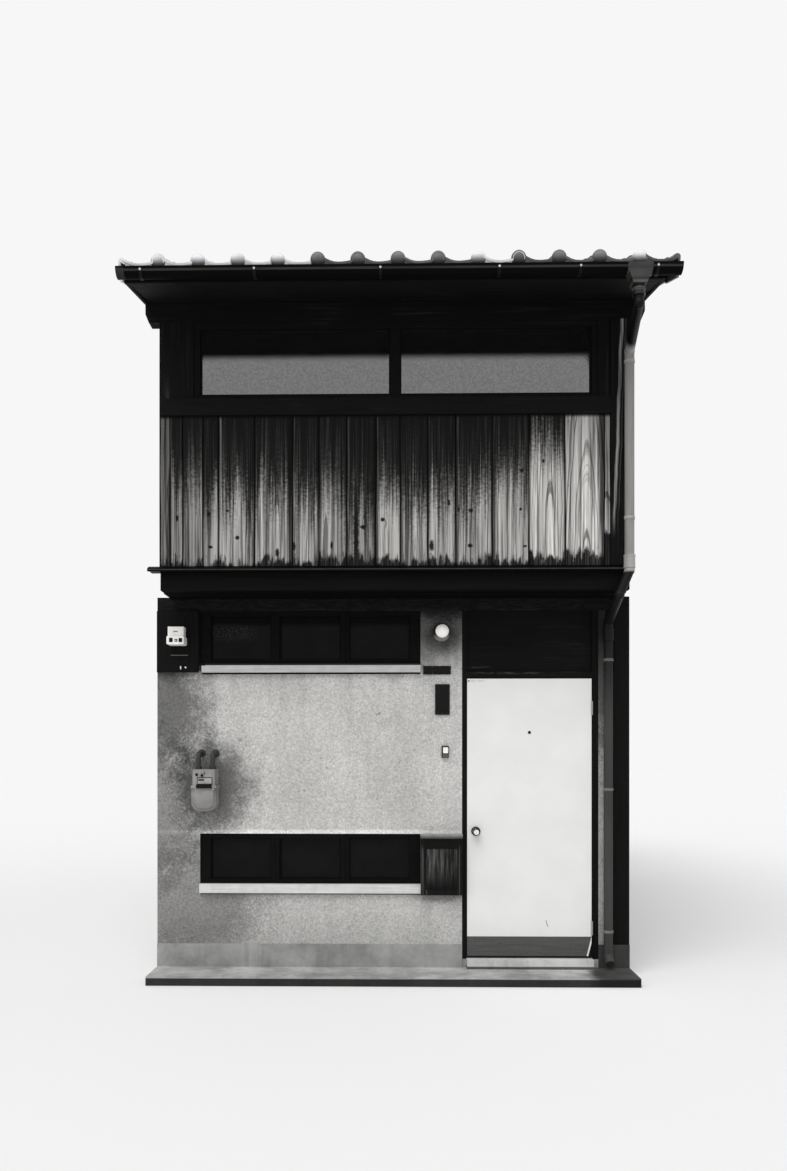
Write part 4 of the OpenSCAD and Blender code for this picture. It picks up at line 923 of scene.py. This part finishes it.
for side, name, replaced in ((-1, "street_eave_ends", ("eave_end_tiles",)), (1, "rear_eave_ends", ())):
    lips, buns = eave_lips(side), bun_ends(side)
    # pale lips and buns: newer tiles with the sky's sheen painted into their colour
    lip_tone = np.where(PALE_PANS & (side < 0), LIGHT * 0.9, DARK * 0.8)
    bun_tone = np.where(PALE_ROLLS & (side < 0), LIGHT, 0.23 * rng.uniform(0.8, 1.2, COLUMNS - 1))
    # painted shade on the lower half of each bun
    bun_shaded_tone = bun_tone[:, None, None] * bun_painted_shade()
    tone = np.concatenate([np.repeat(lip_tone, lips[0].size // 3), bun_shaded_tone.ravel()])
    put(name, [lips, buns], tile_clay, values={"tone": tone}, replaces=replaced)

# %% [markdown]
# ## Ridge
# The ridge is closed by two courses of flat tiles bedded in mortar, with round tiles on top and a
# round end tile over each gable. Flat tiles are short bars with a small gap between them; round ones
# are half pipes, each with a raised collar that laps the next.

# %% Ridge
COURSE_Z = ridge_top - SLOPE * 0.125 + 0.127 / COS
ROUND_Z = COURSE_Z + 0.060
FLAT_TILES, ROUND_TILES = 12, 13
JOINT = 0.0015


def bars_along(x0, x1, outline):
    """Straight bars from x0 to x1 with one outline of (y, z) points."""
    outline = np.asarray(outline)
    return ring_points(np.stack([x0, x1], -1)[..., None], outline[:, 0], outline[:, 1])


flat_x = np.linspace(-HALF, HALF, FLAT_TILES + 1)
ridge_batches = []
for row in range(2):
    w, z = 0.125 - 0.014 * row, COURSE_Z + 0.030 * row
    outline = [[-w, z], [w, z], [w, z + 0.022], [0, z + 0.029], [-w, z + 0.022]]
    cuts = flat_x + 0.5 * row * (flat_x[1] - flat_x[0])
    ridge_batches.append(bars_along(cuts[:-1] + JOINT, np.minimum(cuts[1:], HALF) - JOINT, outline))
ridge_batches.append(bars_along([-HALF], [cuts[0] - JOINT], outline))

angle = np.radians(np.linspace(-12, 192, 12))
around = np.concatenate([angle, angle[::-1]])
radius = np.array([0.0705, 0.0705, 0.0655, 0.0655])[:, None]
radius = np.concatenate([radius + 0 * angle, radius - CLAY + 0 * angle], -1)
round_x = np.linspace(-HALF + 0.024, HALF - 0.024, ROUND_TILES + 1)
start, stop = round_x[:-1], round_x[1:]
along = np.stack([start, start + 0.030, start + 0.031, stop + 0.001], -1)[..., None]
ridge_batches.append(ring_points(along, radius * np.cos(around), ROUND_Z + radius * np.sin(around)))
END_PROFILE = [[0.0, 0.020], [0.0, 0.084], [0.003, 0.088], [0.019, 0.088],
               [0.024, 0.082], [0.022, 0.072], [0.025, 0.030], [0.026, 0.004]]
end_tile = turned(END_PROFILE, (HALF - 0.026, 0.0, ROUND_Z), "x", 28)
ridge_batches += [end_tile, end_tile * (-1, 1, 1)]
tones = [np.repeat(rng.normal(DARK, 0.03, len(b)).clip(0.1, 0.28), b[0].size // 3) for b in ridge_batches]
put("ridge_tile_courses", ridge_batches, tile_clay, values={"tone": np.concatenate(tones)},
    replaces=("ridge_tiles",))

low, high, w = ridge_top + 0.03, COURSE_Z + 0.002, 0.095
bed = bars_along([-HALF + 0.004], [HALF - 0.004], [[-w, low], [w, low], [w, high], [-w, high]])
put("ridge_mortar", [bed], concrete("ridge_lime_mortar", 0.34))

# %% [markdown]
# ## Glass
# The upper panes are figured glass: fine diagonal ripples that blur the room behind and throw back
# the sky. The ripples are a height made of two crossing waves; the reflection does the rest. The
# lower panes are the same glass with painted deep shade: a weaker shine, and darker towards the top
# of the high ones under the jetty, where one pane has a painted glint.

# %% Glass
def figured_glass(name, base, ior, ripple, rough, shine=0.5):
    """Dark glass with two crossing diagonal ripples, sin(2 pi (x + z) / 22 mm) and
    sin(2 pi (x - z) / 19 mm); dirt mottles its shine, painted shade darkens the top of the high lower
    panes, and a painted glint shows in one of them."""
    f = Finish(name)
    x, _, z = f.xyz()
    waves = f.math("SINE", (x + z) * (2 * math.pi / 0.022)) + f.math("SINE", (x - z) * (2 * math.pi / 0.019))
    grain = f.noise(130.0, detail=2.0)
    dirt = f.noise(95.0, detail=2.0, rough=0.7)
    dust = f.noise(9.0)
    # painted shade: colour and shine darker towards the top of the high lower panes, under the jetty
    shaded = f.math("MAXIMUM", f.span(z, 2.500, 2.545, 1.0, 0.45), f.span(z, 3.0, 3.1))
    # a painted glint in one high lower pane
    painted_glint = f.product(f.near(x, -1.20, 0.10, 0.12) * f.near(z, 2.47, 0.03, 0.05),
                      (f.noise(150.0, detail=1.0), 0.56, 0.66))
    value = base * f.span(dust, 0.3, 0.7, 0.8, 1.2) * shaded + 0.05 * painted_glint
    sheen = shine * f.span(dirt, 0.3, 0.7, 0.82, 1.18) * shaded
    return f.done(value, rough, ripple * waves + 2.0 * ripple * grain,
                  tint=(0.98, 1.0, 1.01), shine=sheen, ior=ior)


dress(figured_glass("figured_glass", 0.004, 2.50, 0.000032, 0.035), "upper_window_glass")
dress(figured_glass("shaded_glass", 0.0045, 1.25, 0.00005, 0.20, shine=0.22), "lower_window_glass")

# %% [markdown]
# ## Door
# The entrance is a flush painted leaf. Paint is smooth but never flat: a roller leaves a soft
# orange-peel, and the foot is scuffed and grimy. A thin metal kick plate covers the foot, and a
# spyhole sits at eye height.

# %% Paint, metal and plastic
def door_paint():
    """White paint with a faint roller texture, grime towards the foot, one scuff and a smear at the
    top. The scuff's middle is x = 1.176 - 0.28 z."""
    f = Finish("door_paint")
    x, _, z = f.xyz()
    peel = f.noise(420.0, detail=1.0)
    cloud = f.noise(4.0, detail=4.0)
    dirt = f.noise(30.0, 30.0, 8.0, detail=4.0, rough=0.7)
    grime = f.span(dirt, 0.60, 0.76) * f.span(z, 0.70, 0.28)
    scuff = f.near(x, -0.28 * z + 1.176, 0.0015, 0.004) * f.near(z, 0.375, 0.018, 0.008)
    smear = f.near(x, 0.56, 0.05, 0.03) * f.near(z, 2.116, 0.003, 0.006)
    value = f.blend(0.30 * grime, 0.80 * f.span(cloud, 0.3, 0.7, 0.97, 1.02), 0.35)
    value = f.blend(0.75 * scuff, value, 0.12)
    value = f.blend(smear * f.span(dirt, 0.35, 0.6), value, 0.55)
    return f.done(value, 0.42, 0.00015 * peel, tint=(1.005, 1.0, 0.985), shine=0.4)


def dull_metal(name, base, rough=0.45, along=(90.0, 90.0, 4.0)):
    """Metal gone dull: a fine brushed grain and darker spots."""
    f = Finish(name)
    spot = f.span(f.noise(70.0), 0.58, 0.72)
    value = f.blend(0.5 * spot, base * f.span(f.noise(*along), 0.3, 0.7, 0.88, 1.1), base * 0.5)
    gloss_lost = f.span(spot, 0.0, 1.0, rough, rough + 0.25)
    return f.done(value, gloss_lost, tint=(1.0, 1.0, 0.99), metal=1.0)


def gloss(name, low, high, shine=0.35):
    """Smooth enamel whose dust lifts it from one grey to another."""
    f = Finish(name)
    return f.done(f.span(f.noise(60.0), 0.4, 0.8, low, high), 0.35, shine=shine)


def plastic(name, base, rough=0.4, dusty=0.4):
    """Weathered plastic or enamel: even colour, dust in soft clouds."""
    f = Finish(name)
    cloud = f.noise(12.0, detail=4.0)
    value = base * f.span(cloud, 0.35, 0.7, 1.0 - dusty / 3, 1.0 + dusty / 2)
    return f.done(value, f.span(cloud, 0.3, 0.7, rough, rough + 0.15), shine=0.45)


def by_height(name, steps, rough=0.45, shine=0.3):
    """Paint whose grey changes at given heights: steps are (height, soft distance, grey above)."""
    f = Finish(name)
    z = f.xyz()[2]
    value = steps[0][2]
    for height, soft, above in steps[1:]:
        value = f.blend(f.span(z, height - soft, height + soft), value, above)
    return f.done(value * f.span(f.noise(14.0, detail=4.0), 0.3, 0.7, 0.85, 1.15), rough, shine=shine)


black_gloss = gloss("black_gloss", 0.004, 0.008, shine=0.12)
dress(door_paint(), "door_leaf")
dress(dull_metal("worn_chrome", 0.88, 0.12), "door_knob")
dress(gloss("blackened_brass", 0.004, 0.008, shine=0.1), "door_roses")
dress(dull_metal("hinge_steel", 0.40), "hinge_frame_plates", "hinge_door_plates")

# %% [markdown]
# The kick plate's right end slants, and below it the leaf's corner is worn. Rings and bolts are
# turned shapes: rows of (distance along the axis, radius), negative towards the street.

# %% Door fittings
LEAF_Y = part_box("door_leaf")[0].y
LEAF_X0, LEAF_X1 = 0.4998, 1.3902
KNOB = (0.561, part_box("door_knob")[0].y, 1.038)
KICK = [(LEAF_X0, 0.142), (1.354, 0.142), (1.388, 0.282), (LEAF_X0, 0.282)]
WORN = [(1.366, 0.1405), (1.3900, 0.1405), (1.3900, 0.235)]
COLLAR = [[0.034, 0.020], [0.034, 0.0305], [0.030, 0.0315], [0.027, 0.0305], [0.026, 0.020]]
RIM = [[0.0035, 0.0200], [0.0035, 0.0264], [0.0004, 0.0260], [-0.0006, 0.0240], [-0.0004, 0.0190],
       [0.0008, 0.0180]]
SPYHOLE = [[0.0015, 0.006], [0.0015, 0.011], [-0.003, 0.0105], [-0.004, 0.008], [-0.002, 0.007],
           [-0.001, 0.001]]
STUD = [[0.001, 0.0055], [-0.002, 0.0050], [-0.003, 0.0015]]
kick_metal = dull_metal("kick_plate_metal", 0.105, 0.5, (4.0, 4.0, 160.0))
kick = plaque(KICK, LEAF_Y + 0.001, LEAF_Y - 0.0015, 0.0004)
put("kick_plate", [kick], kick_metal, body="door")
worn = plaque(WORN, LEAF_Y + 0.001, LEAF_Y - 0.0006, 0.0003)
strip = block_ring(LEAF_X0, LEAF_X1, LEAF_Y - 0.0016, LEAF_Y + 0.001, 0.1322, 0.1425, 0.0003)
put("door_foot_strip", [worn, strip], black_gloss, body="door")
rim = turned(RIM, KNOB, segments=32)
rim[0, 4:, :, 2] -= 0.0035
put("knob_rings", [turned(COLLAR, KNOB, segments=32), rim], black_gloss, body="knob")
spy = turned(SPYHOLE, (0.946, LEAF_Y, 1.746), segments=20)
stud = turned(STUD, (0.512, LEAF_Y, 2.116), segments=12)
put("spyhole", [spy, stud], black_gloss, body="door")

# %% [markdown]
# ## Sills, ledge, strip and rainwater goods
# Aluminium sills are bright with faint streaks, painted lighter on the low sill and darker on the
# high ones as light and shade. The gutters, hoppers and pipes are brown-black plastic with a dusty
# sheen; the gutter has a painted sky reflection along its upper third. The upper length of the street
# pipe is painted lit grey, and below the jetty and at its neck under the eave it is painted dark as
# shade, so its finish changes with height.

# %% Rainwater and sill finishes
def pipe_light_and_shade():
    """Pipe plastic with painted light and shade: lit grey above the jetty on the street pipe, painted
    shade below it, darkest just under the jetty, and at the neck under the eave.
    """
    f = Finish("pipe_painted_light_and_shade")
    _, y, z = f.xyz()
    # painted light: the lit length of the street pipe, above the jetty and below its neck
    high = f.span(z, 2.816, 2.836) * f.span(z, 4.42, 4.30) * f.span(y, -3.76, -3.66)
    # painted shade: darker up towards the jetty, and dark at the neck under the eave
    low = f.span(z, 2.45, 1.7, 0.005, 0.050) * f.span(z, 4.2, 4.0, 0.12, 1.0)
    value = f.blend(high, low, f.span(z, 2.93, 2.96, 0.36, 0.27))
    value = f.product(value, (f.noise(6.0, 6.0, 2.0, detail=4.0), 0.3, 0.7, 0.85, 1.12),
                      (f.noise(60.0, 60.0, 3.0, detail=2.0), 0.5, 0.8, 1.0, 0.8))
    return f.done(value, 0.5, tint=(1.03, 1.0, 0.96), shine=0.15)


def gutter_paint():
    """Black plastic with a painted sky reflection, a grey line along its upper third, and grey on its
    left end.
    """
    f = Finish("gutter_plastic")
    x, _, z = f.xyz()
    end = f.span(x, -1.706, -1.716) * f.span(z, 4.624, 4.619)
    # painted reflection of the sky along the upper third, and the grey left end
    share = f.product(f.math("MAXIMUM", f.near(z, 4.611, 0.004, 0.004), end),
                      (f.noise(3.0, 3.0, 30.0, detail=4.0), 0.3, 0.7, 0.65, 1.1))
    return f.done(f.blend(share, 0.0025, 0.040), 0.6, shine=0.03)


def sill_metal():
    """Aluminium with faint streaks along it, painted brighter low down as light and darker on the high
    sills as shade; the top edge and the left end of the high street sills are painted dark as shade."""
    f = Finish("sill_aluminium")
    x, y, z = f.xyz()
    # painted light and shade: the low sill lighter than the high ones
    value = f.product(f.span(z, 1.0, 1.3, 0.64, 0.50), (f.noise(3.0, 90.0, 90.0), 0.3, 0.7, 0.90, 1.08),
                      (f.noise(16.0, detail=4.0), 0.3, 0.7, 0.94, 1.06))
    # painted shade on the left end and the top edge of the high street sills
    end = f.span(x, -1.407, -1.409) * f.span(z, 1.9, 2.0)
    shaded = f.math("MAXIMUM", f.span(z, 2.2275, 2.2290), end) * f.span(y, -3.15, -3.16)
    return f.done(f.blend(shaded, value, 0.004), 0.5, tint=(1.0, 1.0, 0.99), shine=0.25)


HOPPER_STEPS = (
    (0, 0, 0.012), (4.474, 0.002, 0.070), (4.489, 0.002, 0.012), (4.511, 0.002, 0.070),
    (4.526, 0.002, 0.015), (4.545, 0.004, 0.034),
)
STRAP_STEPS = ((0, 0, 0.16), (2.0, 0.5, 0.12), (2.8, 0.1, 0.34), (4.45, 0.02, 0.004))
LEDGE_STEPS = ((0, 0, 0.003), (2.850, 0.001, 0.050), (2.8555, 0.001, 0.003))
GLOW = {"Emission Color": (1.0, 1.0, 0.98, 1.0), "Emission Strength": 0.06}
pipe_plastic = pipe_light_and_shade()
sill_finish = sill_metal()
white_enamel = plastic("meter_enamel", 0.86, dusty=0.15)
gas_enamel = plastic("gas_meter_enamel", 0.23, rough=0.5, dusty=0.45)
opal = plastic("opal_globe", 0.93, rough=0.25, dusty=0.06)
for key, value in GLOW.items():
    opal.node_tree.nodes["Principled BSDF"].inputs[key].default_value = value
for material, name in (
    (pipe_plastic, "downpipes"), (gutter_paint(), "gutters"), (sill_finish, "window_sills"),
    (by_height("hopper_plastic", HOPPER_STEPS, rough=0.35), "rain_hoppers"),
    (by_height("strap_paint", STRAP_STEPS, shine=0.1), "rainwater_brackets"),
    (by_height("ledge_paint", LEDGE_STEPS, shine=0.03), "ledge_flashing"),
    (white_enamel, "electric_meter"), (gas_enamel, "gas_meter"), (opal, "globe_lamp"),
    (black_gloss, "name_plates"), (gloss("bell_plastic", 0.02, 0.04), "bell_button"),
):
    dress(material, name)

# %% [markdown]
# ## Window joinery
# The lower windows slide past each other on two tracks; here their three sashes stand side by side
# in one plane. Every pane is held by a small bead. The rear windows have two leaves that meet in
# the middle. All of these are bars with their edges taken off.

# %% Sashes and beads
WALL_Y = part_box("front_wall_panels")[0].y
FRAME_Y, GLASS_Y = WALL_Y + 0.010, WALL_Y + 0.040
UPPER_Y, BACK_Y = front_low.y + 0.010, rear_high.y - 0.010
SASH_STARTS, SASH_W = (-1.350, -0.850, -0.350), 0.440
joinery = []
for low, high in ((0.657, 1.017), (2.240, 2.620)):
    joinery.append(ring_of_bars(-0.882, -0.378, low + 0.004, high - 0.004, 0.030, FRAME_Y, FRAME_Y - 0.006))
    for x0 in SASH_STARTS:
        sash = (x0, x0 + SASH_W, low + 0.030, high - 0.030)
        joinery.append(ring_of_bars(*sash, 0.008, GLASS_Y, FRAME_Y + 0.010))
for x0, x1 in ((-1.360, -0.0515), (0.0165, 1.325)):
    joinery.append(ring_of_bars(x0, x1, 4.057, 4.511, 0.009, UPPER_Y + 0.030, UPPER_Y + 0.008))
for low in (0.820, 3.550):
    heights = (low + 0.045, low + 0.855)
    joinery.append(ring_of_bars(-0.355, 0.355, *heights, 0.012, BACK_Y - 0.030, BACK_Y - 0.008))
    joinery.append(block_ring(-0.022, 0.022, BACK_Y - 0.030, BACK_Y - 0.002, *heights))
joinery += [
    block_ring(-1.428, -1.381, WALL_Y - 0.0358, WALL_Y, 2.226, 2.242),
    block_ring(-1.437, -1.422, WALL_Y - 0.006, WALL_Y + 0.004, 2.228, 2.622),
    # painted shadow: a thin black strip under each sill stands for the shadow line beneath it
    block_ring([-1.420, -1.407], 0.163, WALL_Y - 0.005, WALL_Y + 0.001, [0.581, 2.166], [0.592, 2.178]),
]
put("sashes_and_beads", joinery, sash_timber)
drip = block_ring(-1.407, 0.164, WALL_Y - 0.0355, WALL_Y - 0.001, 2.1775, 2.192)
put("sill_drip_edge", [drip], sill_finish)

# %% [markdown]
# The shutter box has a frame, a field of narrow tongued boards and a cap of sheet metal that is
# pale at the top and dark below.

# %% Shutter box
CAP_STEPS = ((0, 0, 0.012), (0.996, 0.010, 0.14), (1.010, 0.006, 0.26))
SLAT_TOP = 0.918
low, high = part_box("shutter_box")
field = np.linspace(low.x + 0.038, high.x - 0.030, 8)
slats = block_ring(field[:-1] + 0.0005, field[1:] - 0.0005, low.y + 0.007, low.y + 0.016,
                   low.z + 0.038, SLAT_TOP, 0.002)
put("shutter_slats", [slats], shutter_timber("shutter_slat_timber", slats=True))
head = block_ring(low.x + 0.034, high.x - 0.026, low.y + 0.002, low.y + 0.016,
                  SLAT_TOP - 0.002, high.z - 0.028)
put("shutter_head", [head], level)
cap = block_ring(low.x - 0.002, high.x + 0.001, low.y - 0.004, high.y, high.z - 0.030, high.z + 0.0015)
put("shutter_cap", [cap], by_height("cap_metal", CAP_STEPS))

# %% [markdown]
# ## Meters, lamp, plates and bell
# Small fittings are what a passer-by looks at. Each gets the few parts that make it what it is. The
# electricity meter is a deep box with a flatter one above it, and has a window, seals and screws.
# Places are in metres of the whole house, and each part is pressed a little into what carries it.

# %% Electricity meter
UPPER_FACE, BODY_FACE, BOARD_FACE = WALL_Y - 0.0935, WALL_Y - 0.125, WALL_Y - 0.020
SCREW = [[0.001, 0.0045], [-0.003, 0.0042], [-0.0035, 0.001]]
CLIP = [[0.001, 0.006], [-0.008, 0.006], [-0.010, 0.003]]
case = [
    plaque(rounded(-1.6415, -1.516, 2.369, 2.431, 0.012), BOARD_FACE + 0.001, BODY_FACE, 0.004),
    plaque(rounded(-1.639, -1.524, 2.429, 2.500, 0.004), BOARD_FACE + 0.001, UPPER_FACE, 0.003),
]
put("electric_meter_case", case, white_enamel, replaces=("electric_meter",))
marks = [
    block_ring(-1.598, -1.567, UPPER_FACE - 0.0012, UPPER_FACE + 0.002, 2.463, 2.468, 0.0006),
    block_ring([-1.622, -1.583, -1.554], [-1.595, -1.562, -1.527], BODY_FACE - 0.0015, BODY_FACE + 0.002,
               [2.386, 2.389, 2.386], [2.416, 2.408, 2.415], 0.003),
    # painted shadow: a black strip along the seam between the two boxes
    block_ring(-1.639, -1.518, UPPER_FACE - 0.001, UPPER_FACE + 0.002, 2.4295, 2.4335, 0.0006),
]
put("meter_marks", marks, black_gloss)
fixings = [
    turned(SCREW, (-1.5725, BODY_FACE, 2.398)),
    block_ring(-1.563, -1.556, BOARD_FACE - 0.012, BOARD_FACE, 2.201, 2.223),
    turned(CLIP, (-1.525, BOARD_FACE, 2.214), segments=12),
]
put("meter_screws", fixings, white_enamel)
rail = block_ring(-1.632, -1.507, BOARD_FACE - 0.006, BOARD_FACE, 2.298, 2.305)
put("meter_rail", [rail], dull_metal("meter_rail_metal", 0.10, 0.5))

# %% [markdown]
# The gas meter is a pressed case: a lid with the index window, a flange where lid and belly meet,
# and a round-bottomed belly with a raised middle. Two pipes rise from nuts on its top and bend into
# the wall through round flanges.

# %% Gas meter
gas_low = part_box("gas_meter")[0]
CAP_FACE, CAP_BACK = gas_low.y, WALL_Y - 0.045
BELLY_FACE = CAP_FACE + 0.022
PIPE_X, PIPE_R, BEND_R, PIPE_TOP = (-1.412, -1.312), 0.0165, 0.030, 1.596
PIPE_Y = CAP_BACK - 0.045 - BEND_R
NUT = [[0.0, 0.016], [0.0, 0.024], [0.022, 0.024], [0.024, 0.016]]
FLANGE = [[0.001, 0.017], [0.001, 0.030], [-0.006, 0.028], [-0.007, 0.017]]
KNOBLET = [[0.001, 0.0105], [-0.003, 0.010], [-0.004, 0.004]]
case = [
    plaque(rounded(-1.441, -1.283, 1.362, 1.483, 0.005), CAP_BACK, CAP_FACE, 0.003),
    plaque(rounded(-1.453, -1.272, 1.352, 1.371, 0.004), CAP_BACK - 0.002, CAP_FACE - 0.003, 0.002),
    plaque(u_outline(-1.454, -1.280, 1.360, gas_low.z + 0.006, 0.062), CAP_BACK, BELLY_FACE, 0.004),
    plaque(u_outline(-1.438, -1.290, 1.360, gas_low.z + 0.020, 0.050), BELLY_FACE + 0.001,
           BELLY_FACE - 0.014, 0.009),
]
put("gas_meter_case", case, gas_enamel, replaces=("gas_meter",))
bend = np.radians(np.linspace(0, 90, 7))
run = [(PIPE_Y, 1.478), (PIPE_Y, 1.530)]
run += list(zip(CAP_BACK - 0.045 - BEND_R * np.cos(bend), 1.566 + BEND_R * np.sin(bend)))
run += [(WALL_Y + 0.002, PIPE_TOP)]
pipes = [bent_pipe(x, run, PIPE_R) for x in PIPE_X]
pipes += [turned(NUT, (x, PIPE_Y, 1.482), "z", 6) for x in PIPE_X]
pipes += [turned(FLANGE, (x, WALL_Y, PIPE_TOP), segments=16) for x in PIPE_X]
put("gas_pipes", pipes, plastic("gas_pipe_paint", 0.022, rough=0.5))
window = plaque(rounded(-1.402, -1.307, 1.384, 1.422, 0.003), CAP_FACE + 0.001, CAP_FACE - 0.003, 0.001)
tag = block_ring(-1.299, -1.288, CAP_FACE - 0.006, CAP_FACE, 1.340, 1.351, 0.001)
put("gas_index_window", [window, tag], plastic("index_glass", 0.32, rough=0.25))
marks = [
    block_ring(-1.400, -1.359, CAP_FACE - 0.004, CAP_FACE - 0.001, 1.405, 1.415, 0.001),
    block_ring(-1.4155, -1.3035, CAP_FACE - 0.0045, CAP_FACE - 0.001, 1.351, 1.377, 0.001),
    ring_of_bars(-1.409, -1.300, 1.378, 1.428, 0.0035, CAP_FACE + 0.001, CAP_FACE - 0.002),
    turned(KNOBLET, (-1.411, CAP_FACE, 1.447), segments=12),
    turned(KNOBLET, (-1.374, CAP_FACE, 1.4415), segments=12),
    turned([[0.001, 0.005], [-0.004, 0.005]], (-1.357, CAP_FACE, 1.4555)),
]
put("gas_meter_marks", marks, black_gloss)

# %% [markdown]
# The globe lamp stands on a round base with a grey collar, painted lighter low down as light and
# black higher up as shade. The number plate and the name plate are bare black plates with rims and
# studs, and the bell push is a white button over a small pierced foot.

# %% Lamp, plates and bell
LAMP = (0.316, WALL_Y, 2.463)
BASE = [[0.0, 0.0630], [-0.030, 0.0630], [-0.044, 0.0615], [-0.048, 0.056], [-0.048, 0.030]]
HOLDER = [[-0.060, 0.0560], [-0.060, 0.0588], [-0.086, 0.0586], [-0.098, 0.0562], [-0.107, 0.0522],
          [-0.1115, 0.0492], [-0.1115, 0.0475], [-0.105, 0.0500]]
# painted light and shade: the collar grey below 2.43 m and black above
LAMP_LIGHT_AND_SHADE = ((0, 0, 0.27), (2.430, 0.022, 0.012))
RIM_STUD = [[0.001, 0.003], [-0.0035, 0.0028], [-0.0042, 0.001]]
HOLE = [[0.0, 0.002], [-0.0005, 0.002], [-0.0005, 0.0004]]
PLATE_FACE, BELL_FACE = WALL_Y - 0.010, WALL_Y - 0.022
lamp = [turned(profile, LAMP, segments=36) for profile in (BASE, HOLDER)]
put("lamp_base", lamp, by_height("lamp_base_paint", LAMP_LIGHT_AND_SHADE, shine=0.2))
plates = [
    plaque(rounded(0.184, 0.2475, 2.1625, 2.2235, 0.003), WALL_Y + 0.001, PLATE_FACE),
    plaque(rounded(0.2500, 0.3825, 2.1625, 2.2235, 0.003), WALL_Y + 0.001, PLATE_FACE),
    plaque(rounded(0.2690, 0.3745, 1.8725, 2.0925, 0.003), WALL_Y + 0.001, PLATE_FACE - 0.002),
]
put("bare_plates", plates, black_gloss, replaces=("name_plates",))
rims = [ring_of_bars(0.272, 0.3715, 1.8755, 2.0895, 0.0030, PLATE_FACE + 0.001, PLATE_FACE - 0.0040)]
rims += [turned(RIM_STUD, (x, PLATE_FACE, z))
         for x, z in ((0.190, 2.193), (0.3765, 2.193), (0.322, 1.884), (0.322, 2.081))]
put("plate_rims", rims, gloss("plate_rim_gloss", 0.012, 0.035))
button = plaque(rounded(0.3262, 0.3620, 1.5965, 1.6385, 0.004), BELL_FACE + 0.001, BELL_FACE - 0.0055, 0.002)
put("bell_top", [button], white_enamel)
foot = plaque(rounded(0.3235, 0.3610, 1.568, 1.588, 0.003), BELL_FACE + 0.001, BELL_FACE - 0.003)
put("bell_foot", [foot], plastic("bell_foot_plastic", 0.09, rough=0.35))
holes = [turned(HOLE, (0.3415 + dx, BELL_FACE - 0.0028, 1.578), segments=8)
         for dx in (-0.009, -0.003, 0.003, 0.009)]
put("bell_holes", holes, black_gloss)

# %% [markdown]
# ## Rainwater details
# Each gutter strap ends in a bright hook over the gutter's lip, and the pipe has a socket where it
# turns in under the jetty.

# %% Hooks and sockets
HOOK = [[0.004, 0.0075], [-0.003, 0.0075], [-0.006, 0.004]]
SOCKET = [[0.0, 0.0325], [0.0, 0.0385], [0.006, 0.0395], [0.014, 0.0385], [0.070, 0.0375],
          [0.078, 0.0395], [0.088, 0.0395], [0.090, 0.0325]]
LIP_Y, LIP_Z = 4.145 + 0.053, 4.613
hooks = []
for x in (-1.607, -0.895, -0.109, 0.628, 1.130, 1.607):
    for side in (-1, 1):
        hooks.append(turned(HOOK, (0, 0, 0)) * (1, -side, 1) + np.array([x, side * LIP_Y, LIP_Z]))
put("gutter_hooks", hooks, plastic("hook_zinc", 0.55, rough=0.5))
sockets = [turned(SOCKET, place, "z", 28)
           for place in ((1.567, -3.602, 2.850), (1.499, -3.252, 2.395), (-1.498, 3.602, 1.400))]
put("pipe_sockets", sockets, pipe_plastic)

# %% [markdown]
# ## Floor and light
# A pale floor and a white sky light the house as an overcast day does: from everywhere, a little
# more from above and from the street. The camera sees the world as near-white through the Is Camera
# Ray switch, and so do reflections, which is what glass and gutters need.

# %% Stage
FLOOR_HALF, FLOOR_Z = 60.0, -0.001
LIT, SEEN = 0.52, 0.93
corners = FLOOR_HALF * np.array([(-1, -1), (1, -1), (1, 1), (-1, 1)])
floor_mesh = bpy.data.meshes.new("pale_floor")
floor_mesh.from_pydata([(x, y, FLOOR_Z) for x, y in corners], [], [(0, 1, 2, 3)])
floor_mesh.materials.append(Finish("pale_floor").done(0.88, 0.9, tint=(1.0, 1.0, 1.0), shine=0.2))
floor = bpy.data.objects.new("pale_floor", floor_mesh)
bpy.context.scene.collection.objects.link(floor)

world = bpy.data.worlds.new("sky")
bpy.context.scene.world = world
world.use_nodes = True
sky = world.node_tree
path = sky.nodes.new("ShaderNodeLightPath")
shown = sky.nodes.new("ShaderNodeMath")
shown.operation = "MAXIMUM"
strength = sky.nodes.new("ShaderNodeMix")
strength.data_type = "FLOAT"
strength.inputs[2].default_value = LIT
strength.inputs[3].default_value = SEEN
background = sky.nodes["Background"]
background.inputs["Color"].default_value = (1, 1, 1, 1)
for source, target in (
    (path.outputs["Is Camera Ray"], shown.inputs[0]), (path.outputs["Is Glossy Ray"], shown.inputs[1]),
    (shown.outputs[0], strength.inputs[0]), (strength.outputs[0], background.inputs["Strength"]),
):
    sky.links.new(source, target)

sun = bpy.data.objects.new("soft_sun", bpy.data.lights.new("soft_sun", "SUN"))
bpy.context.scene.collection.objects.link(sun)
sun.data.energy = 2.0
sun.data.angle = math.radians(45)
sun.rotation_euler = (math.radians(33), 0, math.radians(-18))
bpy.context.scene.view_settings.view_transform = "Standard"
print("sky", LIT, "seen as", SEEN, "sun", sun.data.energy)
